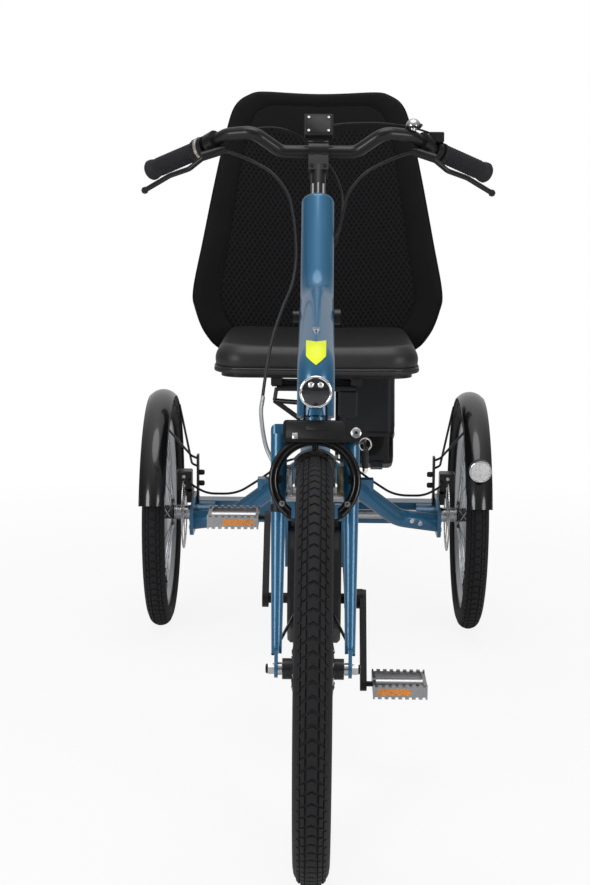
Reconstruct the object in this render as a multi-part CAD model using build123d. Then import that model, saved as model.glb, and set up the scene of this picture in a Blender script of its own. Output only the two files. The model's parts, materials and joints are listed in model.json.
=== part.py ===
from build123d import *
import math
import os

# Semi-recumbent tricycle with one steered wheel in front, two wheels behind, a low seat and an electric assist.
# X runs across, Y lengthwise with the front wheel at -Y, and Z up from the ground.
# Places are distances behind the front axle, until save() shifts them to the middle of the footprint.

# Wheels and tyres
front_radius = 303.5
front_tyre_width = 50.0
front_tyre_height = 50.0
front_bead = front_radius - front_tyre_height
rear_radius = 250.0
rear_tyre_width = 47.0
rear_tyre_height = 47.0
rear_bead = rear_radius - rear_tyre_height
wheelbase = 1353.0
rear_track = 675.0
rim_half_width = 13.5
rim_wall = 2.0
rim_lip = 6.0
rim_depth = 18.0
tyre_seat_gap = 0.05
spoke_radius = 1.0
nipple_gap = 0.3
flange_radius = 29.0
flange_thickness = 3.2
front_flange_x = 28.0
rear_flange_x = 22.0
hub_barrel_radius = 15.0
front_spokes = 36
rear_spokes = 32
running_gap = 0.05

# Front axle and steering axis
front_axle_radius = 5.0
front_axle_length = 136.0
dropout_gap = 100.6
dropout_thickness = 5.0
axle_nut_radius = 8.0
axle_nut_length = 9.0
head_tilt = 15.0
crown_y = 112.0
crown_clearance = 33.0
crown_z = 2 * front_radius + crown_clearance
crown_height = 24.0
crown_depth = 26.0
leg_spread = 105.0
leg_top_radius = 12.5
leg_bottom_radius = 7.5
leg_top_y = crown_y - 15.0
leg_top_z = crown_z - 14.0
leg_bottom_y = 6.0
leg_bottom_z = front_radius + 20.5
steerer_radius = 14.3
steerer_length = 92.0
column_radius = 27.5
head_tube_start = 10.0
head_tube_length = 48.0
head_bore_radius = 20.0
headset_height = 6.0
headset_gap = 0.5
steer_limit = 35.0

# Gooseneck column, stem and handlebar
column_bend_at = 86.0
column_knee_y = crown_y + 358.0
column_knee_z = crown_z + 154.0
column_top_y = crown_y + 460.0
column_top_z = crown_z + 315.0
column_root_bend = 30.0
column_knee_bend = 96.0
quill_radius = 12.7
clamp_y = crown_y + 510.0
clamp_z = crown_z + 394.0
bar_radius = 11.1
grip_radius = 15.4
grip_length = 112.0
stem_block_width = 34.0
tilt_bolt_y = crown_y + 260.0
tilt_bolt_radius = 5.0
tilt_bolt_half = 38.0

# Frame tubes
main_tube_radius = 23.0
main_tube_seat_z = 402.0
rear_arm_radius = 19.0
beam_size = 48.0
beam_y = wheelbase + 72.0
beam_z = rear_radius - 7.0
beam_half = 262.0
plate_thickness = 8.0
plate_x = 266.0
plate_front = wheelbase - 115.0
plate_top = rear_radius + 42.0
plate_bottom = rear_radius - 29.0
seat_post_y = wheelbase - 233.0
seat_post_radius = 19.0
cradle_x = 50.0
cradle_wall = 5.0
rear_strut_radius = 15.0

# Rear axle, brakes and drive
bearing_outer = 24.0
bearing_length = 44.0
half_shaft_radius = 10.0
disc_radius = 80.0
disc_thickness = 2.0
disc_x = 290.0
bottom_bracket_y = 515.0
bottom_bracket_z = 274.0
crank_length = 158.0
crank_rise = 49.5
crank_arm_x = 84.0
crank_arm_thickness = 11.0
spindle_radius = 9.0
chainring_x = 60.0
chainring_radius = 76.0
sprocket_radius = 38.0
chain_height = 8.5
chain_width = 7.0
chain_gap = 0.4
gear_hub_radius = 40.0
gear_hub_length = 62.0
pedal_inner_x = 99.0
pedal_outer_x = 189.0
pedal_depth = 92.0
pedal_height = 24.0
pedal_pin_radius = 4.5
pedal_notches = 8

# Mudguards
guard_wall = 2.5
rear_guard_radius = rear_radius + 22.0
rear_guard_half = 27.0
rear_guard_drop = 13.0
rear_guard_front = 76.0
rear_guard_back = 100.0
front_guard_radius = front_radius + 17.5
front_guard_half = 31.0
front_guard_drop = 16.0
front_guard_front = -21.0
front_guard_back = 96.0
stay_radius = 2.5

# Seat
cushion_front_y = wheelbase - 333.0
cushion_depth = 400.0
cushion_width = 415.0
cushion_bottom_z = 599.0
cushion_thickness = 54.0
cushion_corner = 60.0
seat_pan_thickness = 8.0
rail_x = 80.0
rail_width = 22.0
rail_height = 14.0
back_lean = 20.5
back_foot_y = wheelbase + 75.0
back_foot_z = cushion_bottom_z + 41.0
back_thickness = 34.0
back_height = 568.0
back_wing_radius = 420.0
back_tube_radius = 11.0

# Battery
battery_width = 124.0
battery_depth = 76.0
battery_length = 372.0
battery_x = 113.0
battery_foot_y = wheelbase + 69.0
battery_foot_z = 346.0
battery_lean = 20.5
battery_cap = 70.0

# Lights and lock
lamp_radius = 22.0
lamp_length = 46.0
lamp_y = crown_y - 68.0
lamp_z = crown_z + 56.0
lock_y = 45.0
lock_z = crown_z - 72.0
lock_outer = 66.0
lock_inner = 52.0
lock_ring_depth = 14.0
lock_body_depth = 26.0
lock_body_half = 46.0
lock_body_bottom = 54.0
lock_body_top = 86.0

# The middle of the whole length lies half way between the front tyre's nose and the seat back's top edge
lean_sin = math.sin(math.radians(back_lean))
lean_cos = math.cos(math.radians(back_lean))
back_reach = back_foot_y + back_height * lean_sin + back_thickness * lean_cos
front_axle_y = -(max(back_reach, wheelbase + rear_guard_radius) - front_radius) / 2
rear_half = rear_track / 2
sides = [("left", -1), ("right", 1)]

os.makedirs("parts", exist_ok=True)


def save(name, shape):
    export_step(Pos(0, front_axle_y, 0) * shape, "parts/" + name + ".step")


def rod(start, end, radius):
    start = Vector(*start)
    run = Vector(*end) - start
    return Solid.make_cylinder(radius, run.length, Plane(origin=start, z_dir=run.normalized()))


def taper(start, end, start_radius, end_radius):
    start = Vector(*start)
    run = Vector(*end) - start
    return Solid.make_cone(start_radius, end_radius, run.length, Plane(origin=start, z_dir=run.normalized()))


def block(size, centre, lean=0.0):
    return Pos(*centre) * Rot(X=-lean) * Box(*size)


def bent(points, bends, radius):
    path = FilletPolyline(*points, radius=bends)
    return sweep(Plane(origin=path @ 0, z_dir=path % 0) * Circle(radius), path=path)


def turned(section, centre, arc=360.0, start=0.0):
    # A section drawn as (across, radius) goes round the wheel's axle, from start degrees behind the top forwards
    ring = revolve(Plane.XZ * section, axis=Axis.X, revolution_arc=arc)
    return Pos(*centre) * Rot(X=-start) * ring


def spun(start, direction, profile):
    # A profile of (distance along, radius) is turned about the line that leaves start
    face = make_face(Polyline((0, 0), *profile, (profile[-1][0], 0), close=True))
    solid = revolve(face, axis=Axis.X)
    return Plane(origin=start, x_dir=direction, z_dir=direction.cross(Vector(0, 1, 0))).location * solid


def on_axis(distance):
    tilt = math.radians(head_tilt)
    return (0.0, crown_y + distance * math.sin(tilt), crown_z + distance * math.cos(tilt))


def mirrored(shape, side):
    return shape if side > 0 else mirror(shape, about=Plane.YZ)


front_hub = (0.0, 0.0, front_radius)


def rear_hub(side):
    return (side * rear_half, wheelbase, rear_radius)


def tyre_section(outer, width, bead):
    half = width / 2
    seat = rim_half_width - rim_wall - 0.1
    low = bead + tyre_seat_gap
    lip = bead + rim_lip + 1.0
    shoulder = outer - 0.2 * (outer - bead)
    return make_face(
        [
            Line((-seat, low), (seat, low)),
            Line((seat, low), (seat, lip)),
            ThreePointArc((seat, lip), (half, (lip + shoulder) / 2), (0.8 * half, shoulder)),
            ThreePointArc((0.8 * half, shoulder), (0, outer), (-0.8 * half, shoulder)),
            ThreePointArc((-0.8 * half, shoulder), (-half, (lip + shoulder) / 2), (-seat, lip)),
            Line((-seat, lip), (-seat, low)),
        ]
    )


def rim_section(bead):
    inner = bead - rim_depth
    outside = rim_half_width
    inside = rim_half_width - rim_wall
    return make_face(
        Polyline(
            (-outside, bead + rim_lip),
            (-inside, bead + rim_lip),
            (-inside, bead),
            (inside, bead),
            (inside, bead + rim_lip),
            (outside, bead + rim_lip),
            (outside, bead - 8),
            (6, inner),
            (-6, inner),
            (-outside, bead - 8),
            close=True,
        )
    )


def spoke(hub_x, hub_angle, rim_angle, rim_inner):
    a = math.radians(hub_angle)
    b = math.radians(rim_angle)
    start = Vector(hub_x, (flange_radius - 4) * math.cos(a), (flange_radius - 4) * math.sin(a))
    end = Vector(0, (rim_inner - nipple_gap) * math.cos(b), (rim_inner - nipple_gap) * math.sin(b))
    run = end - start
    return extrude(Plane(origin=start, z_dir=run.normalized()) * RegularPolygon(spoke_radius, 6), run.length)


def laced_hub(flange_x, bore, half_length, count, crosses, rim_inner):
    barrel = Rot(Y=90) * Cylinder(hub_barrel_radius, 2 * half_length)
    hub = barrel
    for x in (-flange_x, flange_x):
        hub += Pos(x, 0, 0) * Rot(Y=90) * Cylinder(flange_radius, flange_thickness)
    hub -= Rot(Y=90) * Cylinder(bore, 2 * half_length + 2)
    pitch = 720.0 / count
    offset = flange_thickness / 2 + spoke_radius * 0.6
    spokes = []
    for flange, turn in ((-1, 0.0), (1, pitch / 2)):
        for k in range(count // 4):
            lead = 2 * pitch * k + turn
            trail = lead + pitch
            spokes.append(spoke(flange * (flange_x + offset), lead, lead + crosses * pitch, rim_inner))
            spokes.append(spoke(flange * (flange_x - offset), trail, trail - crosses * pitch, rim_inner))
    return hub + spokes


# Front wheel
save("front_tyre", turned(tyre_section(front_radius, front_tyre_width, front_bead), front_hub))
save("front_rim", turned(rim_section(front_bead), front_hub))
front_laced = laced_hub(
    front_flange_x, front_axle_radius + running_gap, 44.0, front_spokes, 3, front_bead - rim_depth
)
save("front_hub_spokes", Pos(*front_hub) * front_laced)

# Rear wheels, each with a brake disc and a shaft that turns in the frame's bearing
rear_barrel_half = 26.0
shaft_outer_x = rear_half + rear_barrel_half + 4
for name, side in sides:
    hub_at = rear_hub(side)
    save("rear_tyre_" + name, turned(tyre_section(rear_radius, rear_tyre_width, rear_bead), hub_at))
    save("rear_rim_" + name, turned(rim_section(rear_bead), hub_at))
    laced = laced_hub(rear_flange_x, half_shaft_radius, rear_barrel_half, rear_spokes, 2, rear_bead - rim_depth)
    save("rear_hub_spokes_" + name, Pos(*hub_at) * mirrored(laced, side))
    # The disc is a slotted ring on five arms, clamped between hub and shaft collar
    ring = Circle(disc_radius) - Circle(disc_radius - 16)
    centre = Circle(24) - Circle(half_shaft_radius)
    arms = Sketch() + [Rot(Z=72 * k) * Pos(42, 0) * Rot(Z=18) * Rectangle(52, 8) for k in range(5)]
    slots = Sketch() + [Rot(Z=36 * k) * Pos(disc_radius - 8, 0) * Rot(Z=35) * SlotOverall(11, 3) for k in range(10)]
    disc_face = ring - slots + (arms & Circle(disc_radius - 10)) + centre - Circle(half_shaft_radius)
    disc = Rot(Y=90) * extrude(disc_face, disc_thickness / 2, both=True)
    save("brake_disc_" + name, Pos(side * disc_x, wheelbase, rear_radius) * disc)

# The left shaft ends in its bearing; the right one carries the drive and reaches the gear hub
shaft_inner = {"left": plate_x - bearing_length - 6, "right": gear_hub_length / 2 - 6}
for name, side in sides:
    inner = (side * shaft_inner[name], wheelbase, rear_radius)
    outer = (side * shaft_outer_x, wheelbase, rear_radius)
    collar_start = (side * (disc_x - disc_thickness / 2), wheelbase, rear_radius)
    collar_end = (side * (plate_x + plate_thickness / 2 + 2), wheelbase, rear_radius)
    hub_face = (side * (rear_half - rear_barrel_half), wheelbase, rear_radius)
    disc_outer = (side * (disc_x + disc_thickness / 2), wheelbase, rear_radius)
    shaft = rod(inner, outer, half_shaft_radius) + rod(collar_end, collar_start, 16) + rod(disc_outer, hub_face, 16)
    cap_end = (side * (shaft_outer_x + 3), wheelbase, rear_radius)
    cap_start = (side * (rear_half + rear_barrel_half), wheelbase, rear_radius)
    shaft += rod(cap_start, cap_end, 13)
    save("half_shaft_" + name, shaft)

hub_start = (-gear_hub_length / 2, wheelbase, rear_radius)
hub_end = (gear_hub_length / 2, wheelbase, rear_radius)
gear_hub = rod(hub_start, hub_end, gear_hub_radius)
gear_hub = fillet(gear_hub.edges().filter_by(GeomType.CIRCLE), 8)
sprocket_face = Circle(sprocket_radius - chain_height / 2 - chain_gap)
sprocket = Pos(chainring_x, wheelbase, rear_radius) * Rot(Y=90) * extrude(sprocket_face, 1.5, both=True)
boss = rod(hub_end, (chainring_x + 6, wheelbase, rear_radius), 22)
hole_start = (-gear_hub_length, wheelbase, rear_radius)
shaft_hole = rod(hole_start, (gear_hub_length * 2, wheelbase, rear_radius), half_shaft_radius)
shaft_seat = shaft_hole & block((400, 100, 100), (shaft_inner["right"] + 200, wheelbase, rear_radius))
save("gear_hub", gear_hub + boss + sprocket - shaft_seat)

# Fork: tapered legs, dropouts, crown and steerer
steerer_top = on_axis(steerer_length)
crown_size = (leg_spread + 2 * leg_top_radius, crown_depth, crown_height)
crown = block(crown_size, (0, crown_y - 5, crown_z - 13), head_tilt)
crown = fillet(crown.edges().filter_by(Axis.X, reverse=True), 8)
fork = crown + rod(on_axis(-10), steerer_top, steerer_radius) + rod(on_axis(-8), on_axis(8), 18)
for side in (-1, 1):
    top = (side * leg_spread / 2, leg_top_y, leg_top_z)
    low = (side * leg_spread / 2, leg_bottom_y, leg_bottom_z)
    fork += taper(low, top, leg_bottom_radius, leg_top_radius)
    dropout_x = side * (dropout_gap + dropout_thickness) / 2
    lug = Rectangle(16, 30, align=(Align.CENTER, Align.MIN)) + Circle(13)
    lug -= Circle(front_axle_radius + running_gap)
    fork += Pos(dropout_x, 0, front_radius) * extrude(Plane.YZ * lug, dropout_thickness / 2, both=True)
save("fork", fork)

half_axle = front_axle_length / 2
axle = rod((-half_axle, 0, front_radius), (half_axle, 0, front_radius), front_axle_radius)
nut_start = dropout_gap / 2 + dropout_thickness
for side in (-1, 1):
    nut = Plane(origin=(side * nut_start, 0, front_radius), z_dir=(side, 0, 0)) * RegularPolygon(axle_nut_radius, 6)
    axle += extrude(nut, axle_nut_length)
    lock_nut = ((side * 44.5, 0, front_radius), (side * dropout_gap / 2, 0, front_radius))
    axle += rod(lock_nut[0], lock_nut[1], 9)
save("front_axle", axle)

# Steering column: straight over the steerer, back and up to the rider
column_bend = on_axis(column_bend_at)
column_path = (on_axis(head_tube_start + head_tube_length + headset_gap),
               column_bend,
               (0, column_knee_y, column_knee_z),
               (0, column_top_y, column_top_z))
column = bent(column_path, [column_root_bend, column_knee_bend], column_radius)
column = fillet(column.edges().filter_by(GeomType.CIRCLE).sort_by(Axis.Z)[-1], 9)
column -= rod(on_axis(0), steerer_top, steerer_radius)
knee_slope = (column_knee_z - column_bend[2]) / (column_knee_y - column_bend[1])
tilt_bolt_z = column_bend[2] + knee_slope * (tilt_bolt_y - column_bend[1])
bolt_line = ((-tilt_bolt_half, tilt_bolt_y, tilt_bolt_z), (tilt_bolt_half, tilt_bolt_y, tilt_bolt_z))
tilt_hole = rod(bolt_line[0], bolt_line[1], tilt_bolt_radius)
save("steering_column", column - tilt_hole)

tilt_bolt = tilt_hole
for side, radius in ((-1, 9.0), (1, 12.0)):
    near = (side * (column_radius + 0.5), tilt_bolt_y, tilt_bolt_z)
    far = (side * tilt_bolt_half, tilt_bolt_y, tilt_bolt_z)
    tilt_bolt += rod(near, far, radius)
save("column_bolt", tilt_bolt)

# Stem: a quill out of the column and a clamp round the bar
quill_run = Vector(0, column_top_y - column_knee_y, column_top_z - column_knee_z).normalized()
quill_foot = Vector(0, column_top_y, column_top_z)
quill_head = Vector(0, clamp_y, clamp_z) - quill_run * 16
stem = rod(tuple(quill_foot), tuple(quill_head), quill_radius)
stem += rod((-stem_block_width / 2, clamp_y, clamp_z), (stem_block_width / 2, clamp_y, clamp_z), 19)
stem += block((stem_block_width, 34, 40), (0, clamp_y - 8, clamp_z - 20), 30)
stem_solid = stem - column
save("stem", stem_solid - rod((-60, clamp_y, clamp_z), (60, clamp_y, clamp_z), bar_radius))

# The bar's right half as distances from its middle (across, back, up); the left half mirrors it
bar_half = [(64, 0, 0), (112, -16, 33), (158, 2, 29), (203, 38, 5), (296, 104, -33)]
bar_bends = [40, 40, 30, 30]
bar_points = [(-x, clamp_y + y, clamp_z + z) for x, y, z in reversed(bar_half)]
bar_points += [(x, clamp_y + y, clamp_z + z) for x, y, z in bar_half]
handlebar = bent(bar_points, bar_bends + bar_bends[::-1], bar_radius)
save("handlebar", handlebar)

grip_in = Vector(*bar_points[-2])
grip_out = Vector(*bar_points[-1])
grip_run = (grip_out - grip_in).normalized()
grip_profile = [(0, grip_radius + 1.8), (4, grip_radius + 1.8), (7, grip_radius),
                (grip_length * 0.55, grip_radius + 0.4), (grip_length - 18, grip_radius + 0.6),
                (grip_length - 7, grip_radius + 3), (grip_length - 3, grip_radius + 3), (grip_length, grip_radius + 1)]
grip = spun(grip_in + grip_run * 12.5, grip_run, grip_profile) - handlebar
save("grips", Compound(children=[mirrored(grip, side) for name, side in sides]))

# Brake levers: a clamp and pump body on the bar, with a blade reaching along in front of the grip
seat = Vector(*bar_points[-3]) * 0.45 + Vector(*bar_points[-2]) * 0.55
along = (Vector(*bar_points[-2]) - Vector(*bar_points[-3])).normalized()
clamp = rod(tuple(seat - along * 9), tuple(seat + along * 9), 18)
pump = rod(tuple(seat + Vector(-22, -14, -12)), tuple(seat + Vector(18, -20, -25)), 8)
blade_steps = [(12, -20, -24), (40, -14, -46), (76, 12, -58), (122, 36, -84)]
blade = bent([tuple(seat + Vector(*step)) for step in blade_steps], [16, 40], 4.5)
lever = clamp + pump + blade - handlebar
save("brake_levers", Compound(children=[mirrored(lever, side) for name, side in sides]))

# Twist shifter on the left as seen from the front, bell on the right
shift_mid = grip_in + grip_run * -2
shifter = rod(tuple(shift_mid - grip_run * 9), tuple(shift_mid + grip_run * 13), 19)
save("twist_shifter", mirrored(shifter - handlebar, -1))

display = block((50, 12, 42), (0, clamp_y + 4, clamp_z + 44), 30)
display = fillet(display.edges(), 2)
display += block((20, 12, 26), (0, clamp_y + 2, clamp_z + 22), 30)
save("display", display - rod((-60, clamp_y, clamp_z), (60, clamp_y, clamp_z), 19))

bell_at = (162, clamp_y + 4, clamp_z + 45)
bell_foot = (160, clamp_y + 6, clamp_z + 22)
bell = Pos(*bell_at) * (Sphere(13) & Pos(0, 0, 13) * Box(30, 30, 26))
bell += rod(bell_foot, bell_at, 6)
save("bell", bell - handlebar)

# Headlamp on two wire brackets from the crown
lamp_back = lamp_y + lamp_length
lamp = taper((0, lamp_y, lamp_z), (0, lamp_back, lamp_z), lamp_radius, lamp_radius - 7)
for side in (-1, 1):
    bracket = [(side * 12, lamp_y + 26, lamp_z - 6), (side * 16, crown_y - 27, crown_z + 28),
               (side * 16, crown_y - 25, crown_z - 6), (side * 16, crown_y - 14, crown_z - 12)]
    lamp += bent(bracket, [8, 3], 1.8)
save("headlamp", lamp - fork)

# Ring lock in front of the fork legs, open below
lean = math.degrees(math.atan2(leg_top_y - leg_bottom_y, leg_top_z - leg_bottom_z))
forward = Vector(0, -math.cos(math.radians(lean)), math.sin(math.radians(lean)))
lock_plane = Plane(origin=(0, lock_y, lock_z), x_dir=(1, 0, 0), z_dir=tuple(forward))
ring_face = Circle(lock_outer) - Circle(lock_inner)
ring_face -= Pos(0, -lock_outer) * Rectangle(2 * 33, 2 * 40)
lock = extrude(lock_plane * ring_face, lock_ring_depth / 2, both=True)
housing_face = Pos(0, (lock_body_top + lock_body_bottom) / 2) * RectangleRounded(
    2 * lock_body_half, lock_body_top - lock_body_bottom, 5)
key_face = Pos(lock_body_half + 12, 68) * RectangleRounded(30, 26, 4)
lock += extrude(lock_plane * (housing_face + key_face), lock_body_depth / 2, both=True)
for side in (-1, 1):
    lug_x = side * leg_spread / 2
    lock += rod((lug_x, lock_y, lock_z), (lug_x, leg_top_y - 18, lock_z), 5)
lock -= fork
save("ring_lock", lock)

# Front mudguard from the crown back, with wire stays from the dropouts
def guard_section(radius, half, drop):
    inner = radius - guard_wall
    return make_face(
        [
            ThreePointArc((-half, radius - drop), (0, radius), (half, radius - drop)),
            Line((half, radius - drop), (half - guard_wall, radius - drop)),
            ThreePointArc((half - guard_wall, radius - drop), (0, inner), (guard_wall - half, radius - drop)),
            Line((guard_wall - half, radius - drop), (-half, radius - drop)),
        ]
    )


front_guard = turned(
    guard_section(front_guard_radius, front_guard_half, front_guard_drop),
    front_hub, front_guard_back + front_guard_front, front_guard_back)
front_guard += rod((0, crown_y - 3, crown_z - 38), (0, crown_y - 3, crown_z - 20), 6)
for side in (-1, 1):
    eyelet = (side * (dropout_gap / 2 + dropout_thickness + 2.5), 6, front_radius + 20)
    edge = (side * (front_guard_half - 1), front_guard_radius - front_guard_drop, front_radius)
    front_guard += rod(eyelet, edge, stay_radius)
save("front_mudguard", front_guard - fork)

guard_stays = []
for name, side in sides:
    guard = turned(
        guard_section(rear_guard_radius, rear_guard_half, rear_guard_drop),
        rear_hub(side), rear_guard_back + rear_guard_front, rear_guard_back)
    save("rear_mudguard_" + name, guard)
    # An upright strap on the dropout plate carries two wires to the mudguard's inner edge
    strap_x = plate_x - plate_thickness / 2 - 2.5
    stay = block((5, 22, 104), (side * strap_x, wheelbase, rear_radius + 78))
    # Each wire: its foot behind and above the hub, and its end as shares of the mudguard's radius
    for foot, share in (((-7, 122), (-0.5625, 0.764706)), ((7, 102), (0.488971, 0.8125))):
        foot_y, foot_z = wheelbase + foot[0], rear_radius + foot[1]
        end_y, end_z = wheelbase + share[0] * rear_guard_radius, rear_radius + share[1] * rear_guard_radius
        wire = [(side * strap_x, foot_y, foot_z), (side * (strap_x + 14), foot_y, foot_z + 6),
                (side * (rear_half - rear_guard_half), end_y, end_z)]
        stay += bent(wire, [8], stay_radius)
    guard_stays.append(stay - guard)
save("mudguard_stays", Compound(children=guard_stays))

# Frame: head tube, main tube, seat post and strut in one weldment
head_start = on_axis(head_tube_start)
head_end = on_axis(head_tube_start + head_tube_length)
head_tube = rod(head_start, head_end, column_radius)
main_path = [(0, crown_y + 21, crown_z + 31), (0, crown_y + 240, crown_z - 154),
             (0, bottom_bracket_y + 85, bottom_bracket_z + 158), (0, wheelbase - 273, main_tube_seat_z),
             (0, wheelbase - 13, main_tube_seat_z + 3), (0, beam_y + 5, beam_z + 19)]
main_tube = bent(main_path, [70, 120, 120, 50], main_tube_radius)
frame = head_tube + main_tube
post_top = cushion_bottom_z - seat_pan_thickness - rail_height - 12
frame += rod((0, seat_post_y, main_tube_seat_z - 17), (0, seat_post_y, post_top), seat_post_radius)
frame += rod((0, beam_y, beam_z), (0, beam_y - 20, post_top), rear_strut_radius)
frame += block((beam_half * 2, beam_size, beam_size), (0, beam_y, beam_z))
for side in (-1, 1):
    arm = [(side * 12, wheelbase - 278, main_tube_seat_z + 13), (side * 176, wheelbase - 113, rear_radius + 16),
           (side * plate_x, wheelbase - 91, rear_radius)]
    frame += bent(arm, [60], rear_arm_radius)
    frame += block((26, 30, 24), (side * 108, wheelbase - 187, main_tube_seat_z - 50))
frame -= rod(on_axis(-20), on_axis(140), head_bore_radius)


def by_crank(points):
    # An outline given from the crank's axis, closed into a face
    return make_face(Polyline(*[(bottom_bracket_y + y, bottom_bracket_z + z) for y, z in points], close=True))


cradle_top = by_crank([(-63, 178), (77, 150), (77, 138), (-63, 154)])
cradle_side = by_crank([(-63, 166), (77, 144), (61, 56), (-37, 64)])
frame += extrude(Plane.YZ * cradle_top, cradle_x, both=True)
for side in (-1, 1):
    frame += Pos(side * (cradle_x - cradle_wall / 2), 0, 0) * extrude(Plane.YZ * cradle_side, cradle_wall / 2, both=True)
save("main_frame", frame)

bearings = []
for first in (head_tube_start, head_tube_start + head_tube_length - headset_height):
    ring = rod(on_axis(first), on_axis(first + headset_height), head_bore_radius)
    bearings.append(ring - rod(on_axis(first - 1), on_axis(first + headset_height + 1), steerer_radius + running_gap))
save("headset", Compound(children=bearings))

# Dropout plates join arm, beam and axle bearing on each side
plates = []
for name, side in sides:
    outline = make_face(
        Polyline((plate_front, plate_bottom + 8), (plate_front + 12, plate_bottom), (beam_y + 24, plate_bottom - 2),
                 (beam_y + 24, plate_top - 24), (wheelbase + 30, plate_top), (wheelbase - 40, plate_top),
                 (plate_front, plate_top - 16), close=True))
    plate = Pos(side * plate_x, 0, 0) * extrude(Plane.YZ * outline, plate_thickness / 2, both=True)
    inner = (side * (plate_x - bearing_length), wheelbase, rear_radius)
    outer = (side * (plate_x + plate_thickness / 2), wheelbase, rear_radius)
    plate += rod(inner, outer, bearing_outer)
    bore_ends = ((side * 100, wheelbase, rear_radius), (side * 300, wheelbase, rear_radius))
    plate -= rod(bore_ends[0], bore_ends[1], half_shaft_radius + running_gap)
    plate -= block((beam_half * 2, beam_size, beam_size), (0, beam_y, beam_z))
    plates.append(plate - frame)
save("dropout_plates", Compound(children=plates))

# Brake calipers straddle the discs on an adapter bolted to the plate
caliper = fillet(block((34, 44, 42), (disc_x - 1, wheelbase, rear_radius + 74)).edges(), 4)
caliper += block((12, 66, 24), (plate_x + plate_thickness / 2 + 6, wheelbase, rear_radius + 40))
caliper += block((14, 30, 20), (disc_x - 11, wheelbase, rear_radius + 50))
caliper -= block((disc_thickness + 3, 80, 60), (disc_x, wheelbase, rear_radius + 54))
save("brake_calipers", Compound(children=[mirrored(caliper, side) for name, side in sides]))

# Motor under the cradle, one closed housing round the crank spindle
motor_face = by_crank([(-107, 26), (-87, 104), (-53, 136), (75, 126), (125, 61), (113, -12), (47, -68),
                       (-45, -68), (-99, -24)])
motor_face = fillet(motor_face.vertices(), 24)
motor = extrude(Plane.YZ * motor_face, cradle_x - cradle_wall, both=True)
motor = chamfer(motor.faces().filter_by(Axis.X).edges(), 5)
bb = (bottom_bracket_y, bottom_bracket_z)
motor -= rod((-70, *bb), (70, *bb), spindle_radius + running_gap)
save("motor", motor - frame)

# Crankset: spindle, two arms half a turn apart, chainring on five arms, and the pedals' pins
arm_half = crank_arm_thickness / 2
spindle = rod((-crank_arm_x - arm_half, *bb), (crank_arm_x + arm_half, *bb), spindle_radius)
ring_outer = chainring_radius - chain_height / 2 - chain_gap
ring_face = Circle(ring_outer) - Circle(ring_outer - 13)
spider = Sketch() + [Rot(Z=72 * k) * Pos(35, 0) * Rectangle(56, 13) for k in range(5)]
ring_face += (spider & Circle(ring_outer - 6)) + Circle(22)
crankset = spindle + Pos(chainring_x, *bb) * Rot(Y=90) * extrude(ring_face, 1.5, both=True)
crankset += rod((cradle_x + 2, *bb), (crank_arm_x, *bb), 17)
pedal_centres = {}
for name, side in sides:
    turn = math.radians(crank_rise if side < 0 else crank_rise + 180)
    eye_y = bottom_bracket_y + crank_length * math.cos(turn)
    eye_z = bottom_bracket_z + crank_length * math.sin(turn)
    pedal_centres[name] = (eye_y, eye_z)
    flank = Polyline((0, 16), (crank_length, 12), (crank_length, -12), (0, -16), close=True)
    arm_face = Circle(16) + Pos(crank_length, 0) * Circle(12) + make_face(flank)
    arm = extrude(Plane.YZ * arm_face, arm_half, both=True)
    arm = Pos(side * crank_arm_x, *bb) * Rot(X=math.degrees(turn)) * arm
    pin = rod((side * crank_arm_x, eye_y, eye_z), (side * (pedal_outer_x - 4), eye_y, eye_z), pedal_pin_radius)
    crankset += arm + pin
save("crankset", crankset)

# Pedals: a barrel between two end plates, and a bar with a reflector front and back
for name, side in sides:
    eye_y, eye_z = pedal_centres[name]
    inner = pedal_inner_x
    span = pedal_outer_x - pedal_inner_x
    middle = inner + span / 2
    bore = rod((inner - 5, 0, 0), (pedal_outer_x - 3, 0, 0), pedal_pin_radius + running_gap)
    pedal = rod((inner, 0, 0), (pedal_outer_x, 0, 0), 10)
    for x in (inner + 3, pedal_outer_x - 3):
        pedal += block((6, pedal_depth - 6, pedal_height - 6), (x, 0, 0))
    for y in (-1, 1):
        pedal += block((span, 7, pedal_height), (middle, y * (pedal_depth / 2 - 3.5), 0))
        pedal -= block((54, 3, 12), (middle - 10, y * (pedal_depth / 2 - 1.5), 0))
        for k in range(pedal_notches):
            notch_x = inner + span * (k + 0.5) / pedal_notches
            for z in (-1, 1):
                pedal -= block((5, 8, 7), (notch_x, y * (pedal_depth / 2 - 3.5), z * pedal_height / 2), 0)
    reflectors = []
    for y in (-1, 1):
        reflectors.append(block((54, 3, 12), (middle - 10, y * (pedal_depth / 2 - 1.5), 0)))
    place = Pos(0, eye_y, eye_z)
    save("pedal_" + name, mirrored(place * (pedal - bore), side))
    save("pedal_reflectors_" + name, mirrored(place * Compound(children=reflectors), side))

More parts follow.
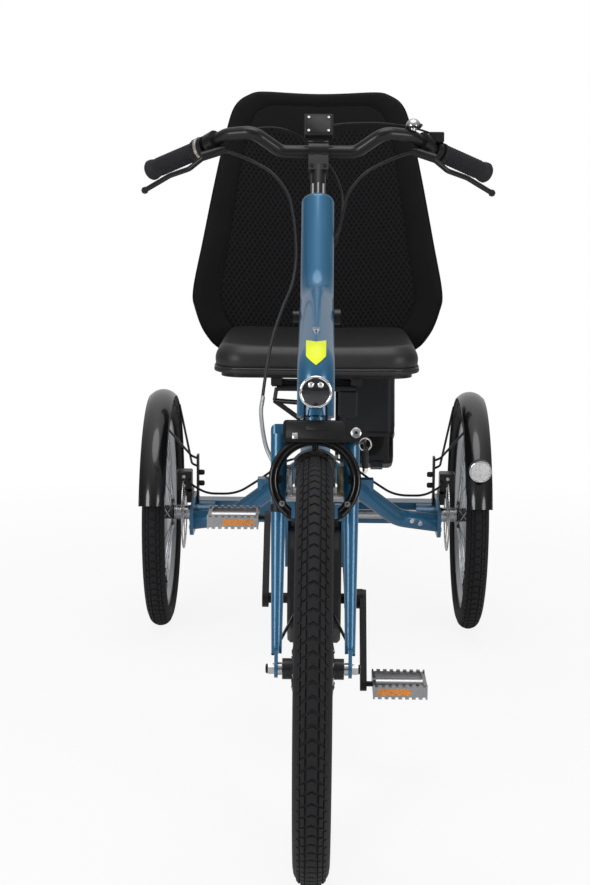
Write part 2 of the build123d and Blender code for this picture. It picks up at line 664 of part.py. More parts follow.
# Drive chain: one loop from chainring to sprocket
def chain_loop(grow):
    ring_r = chainring_radius + grow
    small_r = sprocket_radius + grow
    run = wheelbase - bottom_bracket_y
    drop = rear_radius - bottom_bracket_z
    length = math.hypot(run, drop)
    heading = math.atan2(drop, run)
    spread = math.acos((ring_r - small_r) / length)
    points = []
    for turn in (heading + spread, heading - spread):
        direction = (math.cos(turn), math.sin(turn))
        near = (bottom_bracket_y + ring_r * direction[0], bottom_bracket_z + ring_r * direction[1])
        far = (wheelbase + small_r * direction[0], rear_radius + small_r * direction[1])
        points.append((near, far))
    (top_near, top_far), (low_near, low_far) = points
    ring_back = (bottom_bracket_y - ring_r * math.cos(heading), bottom_bracket_z - ring_r * math.sin(heading))
    small_back = (wheelbase + small_r * math.cos(heading), rear_radius + small_r * math.sin(heading))
    return make_face([Line(top_near, top_far), ThreePointArc(top_far, small_back, low_far),
                      Line(low_far, low_near), ThreePointArc(low_near, ring_back, top_near)])


chain_face = chain_loop(chain_height / 2) - chain_loop(-chain_height / 2)
save("chain", Pos(chainring_x, 0, 0) * extrude(Plane.YZ * chain_face, chain_width / 2, both=True))

# Seat: cushion on a pan, rails on two cross bars, latch bars underneath
def slab(width, depth, height, corner, centre):
    plan = RectangleRounded(width, depth, corner)
    return Pos(*centre) * extrude(plan, height)


cushion_mid_y = cushion_front_y + cushion_depth / 2
cushion = slab(cushion_width, cushion_depth, cushion_thickness, cushion_corner, (0, cushion_mid_y, cushion_bottom_z))
cushion = fillet(cushion.edges().group_by(Axis.Z)[-1], 16)
save("seat_cushion", cushion)
pan_z = cushion_bottom_z - seat_pan_thickness
save("seat_pan", slab(cushion_width - 30, cushion_depth - 30, seat_pan_thickness, 45, (0, cushion_mid_y, pan_z)))
rail_z = pan_z - rail_height / 2
rail_front = cushion_front_y + 10
rail_back = back_foot_y + 23
bar_z = pan_z - rail_height - 6
rear_bar_y = beam_y - 20
rails = Part()
for side in (-1, 1):
    rail_mid = (side * rail_x, (rail_front + rail_back) / 2, rail_z)
    rails += block((rail_width, rail_back - rail_front, rail_height), rail_mid)
for y in (seat_post_y, rear_bar_y - 6):
    rails += block((2 * rail_x + rail_width, 36, 12), (0, y, bar_z))
rails -= frame
save("seat_rails", rails)

latch_y = cushion_front_y + 36
latch_z = pan_z - rail_height - 8
latch = rod((-rail_x, latch_y, latch_z), (rail_x, latch_y, latch_z), 7)
latch += rod((-rail_x, latch_y, latch_z), (-rail_x - 4, latch_y - 4, latch_z - 26), 4)
latch += rod((-rail_x - 4, latch_y - 4, latch_z - 26), (-18, latch_y + 20, latch_z - 34), 5)
latch += rod((-rail_x - 4, latch_y - 4, latch_z - 26), (-26, latch_y + 24, latch_z - 72), 5)
latch += fillet(block((38, 26, 52), (rail_x - 16, latch_y + 8, latch_z - 32)).edges(), 4)
save("seat_latch", latch)

# Seat back: a curved slab cut to its front outline, on two tubes
back_place = Pos(0, back_foot_y, back_foot_z) * Rot(X=-back_lean)
wing_centre = -back_wing_radius
arc_face = Pos(0, wing_centre) * (Circle(back_wing_radius + back_thickness) - Circle(back_wing_radius))
arc_face &= Pos(0, 0) * Rectangle(600, 2 * 190)
back_half = [(0, back_height), (118, back_height - 2), (160, back_height - 16), (190, back_height - 52),
             (210, back_height - 138), (228, back_height - 238), (250, 190), (267, 78),
             (262, 36), (240, -14), (200, -44), (0, -48)]
outline = back_half + [(-x, z) for x, z in reversed(back_half[1:-1])]
back_prism = extrude(Plane.XZ * make_face(Polyline(*outline, close=True)), 300, both=True)
back_slab = Pos(0, 0, -60) * extrude(arc_face, 700)
seat_room = slab(cushion_width + 8, cushion_depth + 8, cushion_thickness + 30, cushion_corner,
                 (0, cushion_mid_y, pan_z - 20))
back = back_place * (back_slab & back_prism) - seat_room - rails
save("seat_back", back)

tube_gap = back_thickness + back_tube_radius + 0.3
back_frame = Part()
for side in (-1, 1):
    x = side * 33
    sag = back_wing_radius - math.sqrt(back_wing_radius ** 2 - 33 ** 2)
    back_frame += rod((x, tube_gap - sag, -40), (x, tube_gap - sag, back_height - 98), back_tube_radius)
for z in (60, back_height - 268, back_height - 118):
    back_frame += rod((-60, tube_gap, z), (60, tube_gap, z), 8)
back_frame = back_place * back_frame
back_frame += block((2 * rail_x + rail_width, 12, 26), (0, rail_back + 6, rail_z - 3))
back_frame -= back
save("seat_back_frame", back_frame)

# Battery behind the seat, leaning with the seat back, on a rail held by the rear strut
lean_back = Rot(X=-battery_lean)
battery_place = Pos(battery_x, battery_foot_y, battery_foot_z) * lean_back
case = extrude(RectangleRounded(battery_width, battery_depth, 16), battery_length - battery_cap)
case = Pos(0, 0, battery_cap) * case
cap = extrude(RectangleRounded(battery_width - 6, battery_depth - 6, 14), battery_cap)
lug = block((26, 30, 12), (22, -battery_depth / 2 + 8, -5))
battery = battery_place * (case + fillet(cap.edges().group_by(Axis.Z)[0], 10) + lug)
save("battery", battery)

rail_gap = battery_width / 2 + 4.3
rail = block((8, 44, battery_length - 40), (-rail_gap, 0, battery_length / 2))
rail = battery_place * rail
for z in (battery_foot_z + 60, battery_foot_z + 190):
    share = (z - beam_z) / (post_top - beam_z)
    strut_y = beam_y - 20 * share
    rail_y = battery_foot_y + (z - battery_foot_z) * math.tan(math.radians(battery_lean))
    rail += rod((0, strut_y, z), (battery_x - rail_gap, rail_y, z), 6)
save("battery_rail", rail - frame - battery)

# Round reflector on the right mudguard's front
reflector_turn = math.radians(32)
reflector_y = wheelbase - (rear_guard_radius + 3) * math.cos(reflector_turn)
reflector_z = rear_radius + (rear_guard_radius + 3) * math.sin(reflector_turn)
stalk_ends = []
for reach in (rear_guard_radius - guard_wall / 2, rear_guard_radius + 19):
    stalk_y = wheelbase - reach * math.cos(reflector_turn)
    stalk_ends.append((rear_half, stalk_y, rear_radius + reach * math.sin(reflector_turn)))
stalk = rod(stalk_ends[0], stalk_ends[1], 6)
puck = rod((rear_half, reflector_y - 26, reflector_z - 2), (rear_half, reflector_y - 13, reflector_z), 23)
right_guard = turned(
    guard_section(rear_guard_radius, rear_guard_half, rear_guard_drop),
    rear_hub(1), rear_guard_back + rear_guard_front, rear_guard_back)
save("mudguard_lamp", puck + stalk - right_guard)

# Rim brake: a pad, cylinder and plate behind each fork leg
pad_y = 88.0
pad_radius = front_bead - 1
pad_z = front_radius + math.sqrt(pad_radius ** 2 - pad_y ** 2)
brake_pair = []
for side in (-1, 1):
    pad = block((8, 30, 9), (side * (rim_half_width + 5.5), pad_y, pad_z), 20)
    cylinder = rod((side * 22, pad_y, pad_z), (side * 47, pad_y, pad_z), 11)
    brake_plate = block((14, 6, 46), (side * 40, pad_y - 2, pad_z + 20), 16)
    brake_pair.append(pad + cylinder + brake_plate - fork)
save("front_brake", Compound(children=brake_pair))

# Key in the lock's side block, with a ring and a fob
key_place = Pos(lock_body_half + 24, lock_y - 26, lock_z + 58)
key = key_place * (Box(3, 24, 9) + Pos(0, -14, 0) * Rot(Y=90) * (Cylinder(11, 2.4) - Cylinder(4, 4)))
key += Pos(lock_body_half + 24, lock_y - 42, lock_z + 40) * (Cylinder(4.5, 26) + Pos(0, 0, 13) * Sphere(4.5))
save("lock_key", key - lock)

# Hoses and cables are clipped to what they run along; each is a tube with smooth bends at its points
hose_radius = 2.5
cable_radius = 1.8
front_hose = [(-166, 629, 1036), (-144, 622, 1030), (-112, 602, 1018), (-78, 586, 1000), (-50, 566, 966), (-38, 530, 916),
              (-34, 488, 858), (-40, 446, 818), (-56, 380, 784), (-70, 300, 742), (-78, 220, 690), (-82, 162, 646),
              (-74, 130, 604), (-56, 112, 572), (-40, 92, 556)]
right_hose = [(166, 629, 1036), (144, 622, 1030), (112, 602, 1018), (78, 586, 1000), (50, 566, 966), (42, 548, 930),
              (34, 536, 900), (16, 526, 878)]
shift_cable = [(-195, 674, 1038), (-178, 670, 1044), (-150, 656, 1060), (-112, 644, 1074), (-66, 648, 1076), (-26, 662, 1058),
               (4, 668, 1030), (28, 650, 1000), (44, 610, 960), (40, 566, 916), (30, 534, 880), (14, 520, 860)]
pod_cable = [(200, 664, 1066), (176, 662, 1074), (146, 652, 1080), (110, 642, 1084), (72, 640, 1084), (36, 646, 1082),
             (14, 632, 1078)]
rear_hose = [(10, 1084, 412), (30, 1098, 420), (66, 1136, 404), (110, 1194, 360), (170, 1252, 312), (236, 1284, 306),
             (272, 1304, 322), (279, 1336, 328)]


def routed(points, radius):
    radii = []
    for before, here, after in zip(points, points[1:], points[2:]):
        a = Vector(*here) - Vector(*before)
        b = Vector(*after) - Vector(*here)
        turn = math.radians(a.get_angle(b))
        radii.append(0.45 * min(a.length, b.length) / math.tan(turn / 2))
    return bent(points, radii, radius)


left_lever = mirrored(lever, -1)
save("front_brake_hose", routed(front_hose, hose_radius) - Compound(children=brake_pair) - left_lever)

# A button pod on the bar, wired to the display
pod = fillet(block((26, 22, 18), (204, clamp_y + 34, clamp_z + 26), 10).edges(), 3)
pod += rod(tuple(grip_in + grip_run * -4), tuple(grip_in + grip_run * 8), 15)
save("button_pod", pod - handlebar - lever - bell)

right_run = routed(right_hose, hose_radius) - lever - column
shift_run = routed(shift_cable, cable_radius) - mirrored(shifter, -1) - column - handlebar
pod_run = routed(pod_cable, cable_radius) - pod - display - handlebar
save("bar_cables", Compound(children=[right_run, shift_run, pod_run]))

hose = routed(rear_hose, hose_radius) - frame - caliper
save("rear_brake_hoses", Compound(children=[mirrored(hose, side) for name, side in sides]))
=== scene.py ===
import bpy
import bmesh
import json
import math
from mathutils import Matrix, Vector
from mathutils.bvhtree import BVHTree


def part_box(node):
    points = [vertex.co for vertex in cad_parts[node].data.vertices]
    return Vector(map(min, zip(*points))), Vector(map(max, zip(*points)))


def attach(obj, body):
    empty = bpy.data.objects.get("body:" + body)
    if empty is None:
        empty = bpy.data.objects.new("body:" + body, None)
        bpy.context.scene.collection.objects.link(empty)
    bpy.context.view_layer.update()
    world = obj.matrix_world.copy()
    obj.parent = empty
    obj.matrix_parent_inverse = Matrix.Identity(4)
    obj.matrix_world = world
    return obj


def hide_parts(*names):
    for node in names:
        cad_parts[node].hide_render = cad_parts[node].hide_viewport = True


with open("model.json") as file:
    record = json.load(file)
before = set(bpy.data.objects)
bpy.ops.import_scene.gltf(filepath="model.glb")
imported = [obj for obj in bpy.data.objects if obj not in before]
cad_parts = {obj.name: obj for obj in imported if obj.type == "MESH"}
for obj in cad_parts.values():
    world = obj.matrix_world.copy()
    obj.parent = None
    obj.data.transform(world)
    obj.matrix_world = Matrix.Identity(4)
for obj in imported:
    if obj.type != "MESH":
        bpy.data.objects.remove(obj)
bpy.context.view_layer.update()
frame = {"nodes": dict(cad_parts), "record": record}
nodes = frame["nodes"]
print("frame loaded,", len(nodes), "pieces")

# Places below are in metres from the front axle's middle: across, behind it, and up from the ground
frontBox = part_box("front_tyre")
shiftY = (frontBox[0].y + frontBox[1].y) / 2
frontRadius = 0.3035
rearRadius = 0.250
wheelbase = 1.353
halfTrack = 0.3375


def at(x, y, z):
    return Vector((x, y + shiftY, z))


class Wire:
    def __init__(self, tree, out):
        self.tree = tree
        self.out = out

    def maths(self, operation, left, right):
        node = self.tree.nodes.new("ShaderNodeMath")
        node.operation = operation
        for slot, value in enumerate((left, right)):
            if isinstance(value, Wire):
                self.tree.links.new(value.out, node.inputs[slot])
            else:
                node.inputs[slot].default_value = value
        return Wire(self.tree, node.outputs[0])

    def __add__(self, other):
        return self.maths("ADD", self, other)

    def __radd__(self, other):
        return self.maths("ADD", other, self)

    def __sub__(self, other):
        return self.maths("SUBTRACT", self, other)

    def __rsub__(self, other):
        return self.maths("SUBTRACT", other, self)

    def __mul__(self, other):
        return self.maths("MULTIPLY", self, other)

    def __gt__(self, other):
        return self.maths("GREATER_THAN", self, other)

    def sine(self):
        return self.maths("SINE", self, 0.0)

    def larger(self, other):
        return self.maths("MAXIMUM", self, other)


class Finish:
    def __init__(self, name, shader="ShaderNodeBsdfPrincipled"):
        self.material = bpy.data.materials.new(name)
        self.material.use_nodes = True
        self.tree = self.material.node_tree
        self.tree.nodes.clear()
        self.output = self.tree.nodes.new("ShaderNodeOutputMaterial")
        self.shader = self.tree.nodes.new(shader)
        self.tree.links.new(self.shader.outputs[0], self.output.inputs[0])

    def put(self, node, sockets):
        for key, value in sockets.items():
            if isinstance(value, Wire):
                self.tree.links.new(value.out, node.inputs[key])
            else:
                node.inputs[key].default_value = value

    def add(self, kind, settings=None, sockets=None, out=0):
        node = self.tree.nodes.new(kind)
        for key, value in (settings or {}).items():
            setattr(node, key, value)
        self.put(node, sockets or {})
        return Wire(self.tree, node.outputs[out])

    def place(self):
        return self.add("ShaderNodeTexCoord", out="Object")

    def split(self, source):
        node = self.tree.nodes.new("ShaderNodeSeparateXYZ")
        self.tree.links.new(source.out, node.inputs[0])
        return [Wire(self.tree, out) for out in node.outputs]

    def cloth(self):
        return self.split(self.add("ShaderNodeUVMap", {"uv_map": "cloth"}))[:2]

    def noise(self, scale, detail=3.0, where=None):
        sockets = {"Vector": where or self.place(), "Scale": scale, "Detail": detail}
        return self.add("ShaderNodeTexNoise", sockets=sockets)

    def blend(self, amount, first, second):
        tones = [(*tone, 1) if isinstance(tone, tuple) else tone for tone in (first, second)]
        return self.add("ShaderNodeMix", {"data_type": "RGBA"}, {0: amount, 6: tones[0], 7: tones[1]}, 2)

    def relief(self, height, strength, distance):
        bump = self.add("ShaderNodeBump", sockets={"Height": height, "Strength": strength,
                "Distance": distance})
        self.put(self.shader, {"Normal": bump})


# A plain finish: two close tones, uneven gloss and a fine grain
def plainFinish(name, spec):
    look = Finish(name)
    tone = look.noise(spec.get("toneScale", 25.0), 4.0)
    fine = look.noise(spec.get("grainScale", 900.0), 2.0)
    dull = look.noise(spec.get("dullScale", 60.0), 5.0)
    first = spec["colour"]
    second = tuple(c * spec.get("second", 0.75) for c in first)
    look.put(look.shader, {
        "Base Color": look.blend(tone, first, second),
        "Roughness": spec["rough"] + (dull - 0.5) * spec.get("uneven", 0.12),
        "Metallic": spec.get("metal", 0.0),
        "Coat Weight": spec.get("coat", 0.0),
        "Coat Roughness": 0.06,
        "Specular IOR Level": spec.get("gloss", 0.5),
    })
    look.relief(fine, spec.get("grain", 0.15), 0.0002)
    return look.material


plainSpecs = {
    "bluePaint": {"colour": (0.021, 0.122, 0.238), "second": 0.88, "rough": 0.34, "metal": 0.3, "coat": 0.5,
                  "grain": 0.04,
                  "grainScale": 2500.0, "uneven": 0.05, "gloss": 0.35},
    "satinBlack": {"colour": (0.009, 0.009, 0.010), "rough": 0.34, "grain": 0.1, "coat": 0.15, "gloss": 0.25},
    "glossBlack": {"colour": (0.005, 0.005, 0.006), "rough": 0.24, "coat": 0.6, "uneven": 0.06,
                   "grain": 0.03, "gloss": 0.3},
    "blackPlastic": {"colour": (0.009, 0.009, 0.010), "rough": 0.44, "grain": 0.35, "grainScale": 1400.0,
                     "gloss": 0.25},
    "batteryShell": {"colour": (0.026, 0.027, 0.031), "rough": 0.42, "grain": 0.3, "grainScale": 1600.0,
                     "gloss": 0.3},
    "brushedSteel": {"colour": (0.62, 0.62, 0.64), "rough": 0.28, "metal": 1.0, "uneven": 0.2},
    "spokeSteel": {"colour": (0.72, 0.73, 0.75), "rough": 0.2, "metal": 1.0},
    "castAlloy": {"colour": (0.6, 0.61, 0.63), "rough": 0.34, "metal": 1.0, "grain": 0.25},
    "chromePlate": {"colour": (0.85, 0.85, 0.86), "second": 0.95, "rough": 0.07, "metal": 1.0,
                    "uneven": 0.04, "grain": 0.02},
    "plainCable": {"colour": (0.008, 0.008, 0.009), "rough": 0.4, "grain": 0.2, "gloss": 0.25},
    "oiledChain": {"colour": (0.2, 0.19, 0.175), "rough": 0.35, "metal": 0.9, "uneven": 0.3, "second": 0.5},
    "oliveAlloy": {"colour": (0.36, 0.34, 0.22), "rough": 0.36, "metal": 0.8},
    "badgeYellow": {"colour": (0.80, 0.90, 0.03), "second": 0.96, "rough": 0.45, "coat": 0.15, "grain": 0.05,
                    "gloss": 0.2},
    "pedalAlloy": {"colour": (0.40, 0.40, 0.41), "rough": 0.24, "metal": 1.0, "uneven": 0.2},
    "creamSilver": {"colour": (0.5, 0.47, 0.42), "rough": 0.3, "metal": 0.7},
    "coverClothTape": {"colour": (0.005, 0.005, 0.006), "rough": 0.7, "grain": 0.5, "grainScale": 2200.0,
                       "gloss": 0.1},
    # grey trim; the same finish also makes the painted highlight strip down the battery's edge
    "greyTrim": {"colour": (0.42, 0.43, 0.44), "rough": 0.35, "metal": 0.3, "grain": 0.1},
}
looks = {name: plainFinish(name, spec) for name, spec in plainSpecs.items()}


def rubberFinish(name, colour, bump):
    look = Finish(name)
    dust = look.noise(18.0, 5.0)
    grit = look.noise(1500.0, 3.0)
    look.put(look.shader, {
        "Base Color": look.blend(dust, colour, tuple(c * 2.1 + 0.002 for c in colour)),
        "Roughness": 0.55 + dust * 0.25,
        "Specular IOR Level": 0.2,
    })
    look.relief(grit, bump, 0.0003)
    return look.material


looks["tyreRubber"] = rubberFinish("tyreRubber", (0.007, 0.007, 0.008), 0.35)
looks["gripRubber"] = rubberFinish("gripRubber", (0.012, 0.012, 0.014), 0.5)


# Pressed lens: small prisms under a clear face
def lensFinish(name, colour, cell, metal):
    look = Finish(name)
    cells = look.add("ShaderNodeTexVoronoi", {"feature": "DISTANCE_TO_EDGE"},
                     {"Vector": look.place(), "Scale": cell})
    look.put(look.shader, {
        "Base Color": look.blend(cells * 6.0, tuple(c * 0.45 for c in colour), colour),
        "Roughness": 0.22,
        "Metallic": metal,
        "Coat Weight": 1.0,
        "Coat Roughness": 0.04,
    })
    look.relief(cells, 0.5, 0.0006)
    return look.material


looks["amberLens"] = lensFinish("amberLens", (0.9, 0.3, 0.015), 330.0, 0.0)
looks["silverLens"] = lensFinish("silverLens", (0.8, 0.8, 0.8), 260.0, 0.7)


def lampGlass():
    look = Finish("lampGlass")
    lines = (look.split(look.place())[0] * 1800.0).sine()
    look.put(look.shader, {
        "Base Color": look.blend(look.noise(70.0), (0.012, 0.012, 0.014), (0.03, 0.032, 0.036)),
        "Roughness": 0.05 + look.noise(40.0) * 0.05,
        "Specular IOR Level": 0.3,
        "Coat Weight": 0.5,
        "Coat Roughness": 0.02,
    })
    look.relief(lines, 0.08, 0.0002)
    return look.material


looks["lampGlass"] = lampGlass()


def seatVinyl():
    look = Finish("seatVinyl")
    where = look.place()
    grain = look.add("ShaderNodeTexVoronoi", {"feature": "DISTANCE_TO_EDGE"},
                     {"Vector": where, "Scale": 520.0})
    creases = look.noise(45.0, 6.0, where)
    look.put(look.shader, {
        "Base Color": look.blend(creases, (0.009, 0.009, 0.010), (0.015, 0.015, 0.016)),
        "Roughness": 0.36 + creases * 0.16,
        "Specular IOR Level": 0.4,
        "Coat Weight": 0.12,
        "Coat Roughness": 0.35,
    })
    look.relief(grain * 1.4 + creases * 0.6, 0.35, 0.0004)
    return look.material


looks["seatVinyl"] = seatVinyl()


# Spacer fabric on the back's own UV map, in metres: diamonds about 9 mm across
def spacerMesh():
    look = Finish("spacerMesh")
    u, v = look.cloth()
    pitch = 2 * math.pi / 0.011
    rise = (u * pitch + v * (pitch * 0.62)).sine()
    fall = (u * pitch - v * (pitch * 0.62)).sine()
    lattice = rise.larger(fall)
    yarn = (u * 9000.0).sine() * (v * 9000.0).sine()
    look.put(look.shader, {
        "Base Color": look.blend(lattice, (0.0014, 0.0014, 0.0016), (0.0066, 0.0068, 0.0082)),
        "Roughness": 0.82 - lattice * 0.12,
        "Specular IOR Level": 0.12,
        "Sheen Weight": 0.04,
        "Sheen Roughness": 0.5,
    })
    look.relief(lattice + yarn * 0.12, 0.7, 0.0012)
    return look.material


def coverCloth():
    look = Finish("coverCloth")
    u, v = look.cloth()
    weave = (u * 5200.0).sine() * (v * 5200.0).sine()
    cloudy = look.noise(14.0, 5.0)
    look.put(look.shader, {
        "Base Color": look.blend(cloudy, (0.0030, 0.0030, 0.0034), (0.0062, 0.0062, 0.0068)),
        "Roughness": 0.78 + weave * 0.05,
        "Specular IOR Level": 0.12,
        "Sheen Weight": 0.03,
        "Sheen Roughness": 0.5,
    })
    look.relief(weave * 0.5 + cloudy, 0.35, 0.0006)
    return look.material


looks["spacerMesh"] = spacerMesh()
looks["coverCloth"] = coverCloth()


# Laced wheel: black hub within a radius of its axle, bright spokes beyond it
def hubFinish(name, y, z, hubRadius=0.0315):
    look = Finish(name)
    place = look.split(look.place())
    along = place[1] - y
    above = place[2] - z
    bright = (along * along + above * above) > hubRadius ** 2
    worn = look.noise(90.0)
    look.put(look.shader, {
        "Base Color": look.blend(bright, (0.010, 0.010, 0.011),
                                 look.blend(worn, (0.72, 0.73, 0.75), (0.52, 0.53, 0.55))),
        "Roughness": 0.36 - bright * 0.12,
        "Metallic": bright * 0.9 + 0.1,
    })
    look.relief(look.noise(800.0), 0.1, 0.0002)
    return look.material


hubs = {"front_hub_spokes": (0.0, frontRadius), "rear_hub_spokes_left": (wheelbase, rearRadius),
        "rear_hub_spokes_right": (wheelbase, rearRadius)}
for node, (y, z) in hubs.items():
    looks[node] = hubFinish(node + "Finish", y + shiftY, z)
print("finishes made,", len(looks))

slotLooks = {
    "blue_paint": "bluePaint", "black_metal": "satinBlack", "gloss_black": "glossBlack",
    "black_plastic": "blackPlastic",
    "steel": "brushedSteel", "spoke_steel": "spokeSteel", "chrome": "chromePlate", "alloy": "castAlloy",
    "tyre": "tyreRubber", "grip_rubber": "gripRubber", "cable_black": "plainCable",
    "lamp_glass": "satinBlack",
    "chain_steel": "oiledChain", "amber": "amberLens", "seat_vinyl": "seatVinyl", "seat_mesh": "coverCloth",
    "reflector": "silverLens",
}
ownLooks = {"battery": "batteryShell", "mudguard_lamp": "satinBlack", "lock_key": "satinBlack",
            "pedal_left": "pedalAlloy",
            "pedal_right": "pedalAlloy", "crankset": "blackPlastic", "column_bolt": "satinBlack",
            "bell": "brushedSteel"}
ownLooks.update({node: node for node in hubs})
for part in frame["record"]["subparts"]:
    name = part["node"]
    look = looks[ownLooks.get(name, slotLooks[part["material_slot"]])]
    mesh = nodes[name].data
    mesh.materials.clear()
    mesh.materials.append(look)


def addObject(name, mesh):
    piece = bpy.data.objects.new(name, mesh)
    bpy.context.scene.collection.objects.link(piece)
    return piece


def meshOf(name, bm):
    mesh = bpy.data.meshes.new(name)
    bmesh.ops.recalc_face_normals(bm, faces=bm.faces)
    bm.to_mesh(mesh)
    bm.free()
    return mesh


# Every added piece is one mesh, placed in its own points
def finishPiece(name, bm, look, body, angle=40.0):
    mesh = meshOf(name, bm)
    piece = addObject(name, mesh)
    for one in (look if isinstance(look, list) else [look]):
        mesh.materials.append(looks[one])
    mesh.shade_smooth()
    mesh.set_sharp_from_angle(angle=math.radians(angle))
    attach(piece, body)
    return piece


# A piece of one shape: the shape's own function comes with its values
def onePiece(name, look, body, slot, shape, *values):
    bm = bmesh.new()
    shape(bm, *values)
    return finishPiece(name, bm, look, body)


def basis(direction):
    z = Vector(direction).normalized()
    x = z.cross(Vector((1, 0, 0)))
    if x.length < 0.2:
        x = z.cross(Vector((0, 1, 0)))
    x.normalize()
    return x, z.cross(x), z


def roundAt(x, y, k, steps):
    a = 2 * math.pi * k / steps
    return x * math.cos(a) + y * math.sin(a)


# Faces between rings of the same count, and over the first and the last
def skin(bm, rings):
    for low, high in zip(rings, rings[1:]):
        for k in range(len(low)):
            n = (k + 1) % len(low)
            bm.faces.new((low[k], low[n], high[n], high[k]))
    bm.faces.new(rings[0])
    bm.faces.new(rings[-1])


# Ways out of and up a face that leans back by so many degrees
def leaning(degrees):
    a = math.radians(degrees)
    return Vector((0, -math.cos(a), math.sin(a))), Vector((0, math.sin(a), math.cos(a)))


def planeAt(centre, up, out, start):
    return lambda u, v, w: centre + Vector((u, 0, 0)) + up * v + out * (start + w)


# A profile of (radius, height) goes round the line that leaves origin along direction
def turn(bm, origin, direction, profile, steps=24):
    x, y, z = basis(direction)
    rings = []
    for radius, height in profile:
        if radius < 1e-6:
            rings.append([bm.verts.new(Vector(origin) + z * height)])
            continue
        rings.append([bm.verts.new(Vector(origin) + roundAt(x, y, k, steps) * radius + z * height)
                      for k in range(steps)])
    for low, high in zip(rings, rings[1:]):
        for k in range(steps):
            a, b = low[k % len(low)], low[(k + 1) % len(low)]
            c, d = high[(k + 1) % len(high)], high[k % len(high)]
            corners = [v for i, v in enumerate((a, b, c, d)) if v not in (a, b, c, d)[:i]]
            if len(corners) > 2:
                bm.faces.new(corners)
    for ring in (rings[0], rings[-1]):
        if len(ring) > 2:
            bm.faces.new(ring)


# A round wire through points; closed joins its ends
def wire(bm, points, radius, steps=10, closed=False):
    count = len(points)
    rings = []
    side = None
    for i, point in enumerate(points):
        before = points[(i - 1) % count] if closed or i > 0 else points[0]
        after = points[(i + 1) % count] if closed or i < count - 1 else points[-1]
        run = (after - before).normalized()
        if side is None:
            side = basis(run)[0]
        side = (side - run * side.dot(run)).normalized()
        up = run.cross(side)
        wide = radius[i] if isinstance(radius, list) else radius
        rings.append([bm.verts.new(point + roundAt(side, up, k, steps) * wide) for k in range(steps)])
    pairs = list(zip(rings, rings[1:])) + ([(rings[-1], rings[0])] if closed else [])
    for low, high in pairs:
        shift = 0
        if closed and low is rings[-1]:
            shift = min(range(steps), key=lambda s: (low[0].co - high[s].co).length)
        for k in range(steps):
            bm.faces.new((low[k], low[(k + 1) % steps], high[(k + 1 + shift) % steps],
                          high[(k + shift) % steps]))
    if not closed:
        bm.faces.new(rings[0])
        bm.faces.new(rings[-1])


def smoothPath(points, steps=6, closed=False):
    count = len(points)
    path = []
    for i in range(count if closed else count - 1):
        p0 = points[(i - 1) % count] if closed or i > 0 else points[0] * 2 - points[1]
        p1 = points[i]
        p2 = points[(i + 1) % count]
        p3 = points[(i + 2) % count] if closed or i < count - 2 else p2 * 2 - p1
        for k in range(steps):
            t = k / steps
            square = (2 * p0 - 5 * p1 + 4 * p2 - p3) * t ** 2
            cube = (3 * p1 - p0 - 3 * p2 + p3) * t ** 3
            path.append(0.5 * (2 * p1 + (p2 - p0) * t + square + cube))
    return path if closed else path + [points[-1]]


# Sunk hex-socket screw heads, all of one body in one mesh
def screws(name, body, look, places):
    bm = bmesh.new()
    for place, direction, radius, height in places:
        turn(bm, place, direction, [(radius, -0.002), (radius, height * 0.7), (radius * 0.85, height),
                                    (radius * 0.5, height),
                                    (radius * 0.46, height * 0.35)], 18)
    return finishPiece(name, bm, look, body)


def join(tree, pairs):
    for out, into in pairs:
        tree.links.new(out, into)


# Geometry Nodes: instances on points, made real and given one material
def repeatTree(name, inputs):
    tree = bpy.data.node_groups.new(name, "GeometryNodeTree")
    for title, kind in inputs:
        tree.interface.new_socket(title, in_out="INPUT", socket_type="NodeSocket" + kind)
    tree.interface.new_socket("Geometry", in_out="OUTPUT", socket_type="NodeSocketGeometry")
    make = tree.nodes.new
    start, end = make("NodeGroupInput"), make("NodeGroupOutput")
    onPoints = make("GeometryNodeInstanceOnPoints")
    realize = make("GeometryNodeRealizeInstances")
    setLook = make("GeometryNodeSetMaterial")
    join(tree, (
        (onPoints.outputs[0], realize.inputs[0]),
        (realize.outputs[0], setLook.inputs[0]),
        (start.outputs["Look"], setLook.inputs["Material"]),
        (setLook.outputs[0], end.inputs[0]),
    ))
    return tree, start, onPoints


# A mesh goes through such a tree, with its named inputs filled
def grow(name, mesh, tree, values):
    piece = addObject(name, mesh)
    modifier = piece.modifiers.new("repeat", "NODES")
    modifier.node_group = tree
    keys = {item.name: item.identifier for item in tree.interface.items_tree if item.in_out == "INPUT"}
    for key, value in values.items():
        modifier[keys[key]] = value
    bpy.context.view_layer.update()
    done = bpy.data.meshes.new_from_object(piece.evaluated_get(bpy.context.evaluated_depsgraph_get()))
    bpy.data.objects.remove(piece)
    return done


# A pitch of anything goes round an axle
def ringTree():
    inputs = (("Geometry", "Geometry"), ("Count", "Int"), ("Hub", "Vector"), ("Look", "Material"))
    tree, start, onPoints = repeatTree("ringRepeat", inputs)
    make = tree.nodes.new
    line = make("GeometryNodeMeshLine")
    line.inputs["Offset"].default_value = (0, 0, 0)
    index = make("GeometryNodeInputIndex")
    share = make("ShaderNodeMath")
    share.operation = "DIVIDE"
    full = make("ShaderNodeMath")
    full.operation = "MULTIPLY"
    full.inputs[1].default_value = 2 * math.pi
    spin = make("ShaderNodeCombineXYZ")
    join(tree, (
        (start.outputs["Count"], line.inputs["Count"]),
        (start.outputs["Hub"], line.inputs["Start Location"]),
        (line.outputs[0], onPoints.inputs["Points"]),
        (start.outputs["Geometry"], onPoints.inputs["Instance"]),
        (index.outputs[0], share.inputs[0]),
        (start.outputs["Count"], share.inputs[1]),
        (share.outputs[0], full.inputs[0]),
        (full.outputs[0], spin.inputs[0]),
        (spin.outputs[0], onPoints.inputs["Rotation"]),
    ))
    return tree


ringRepeat = ringTree()


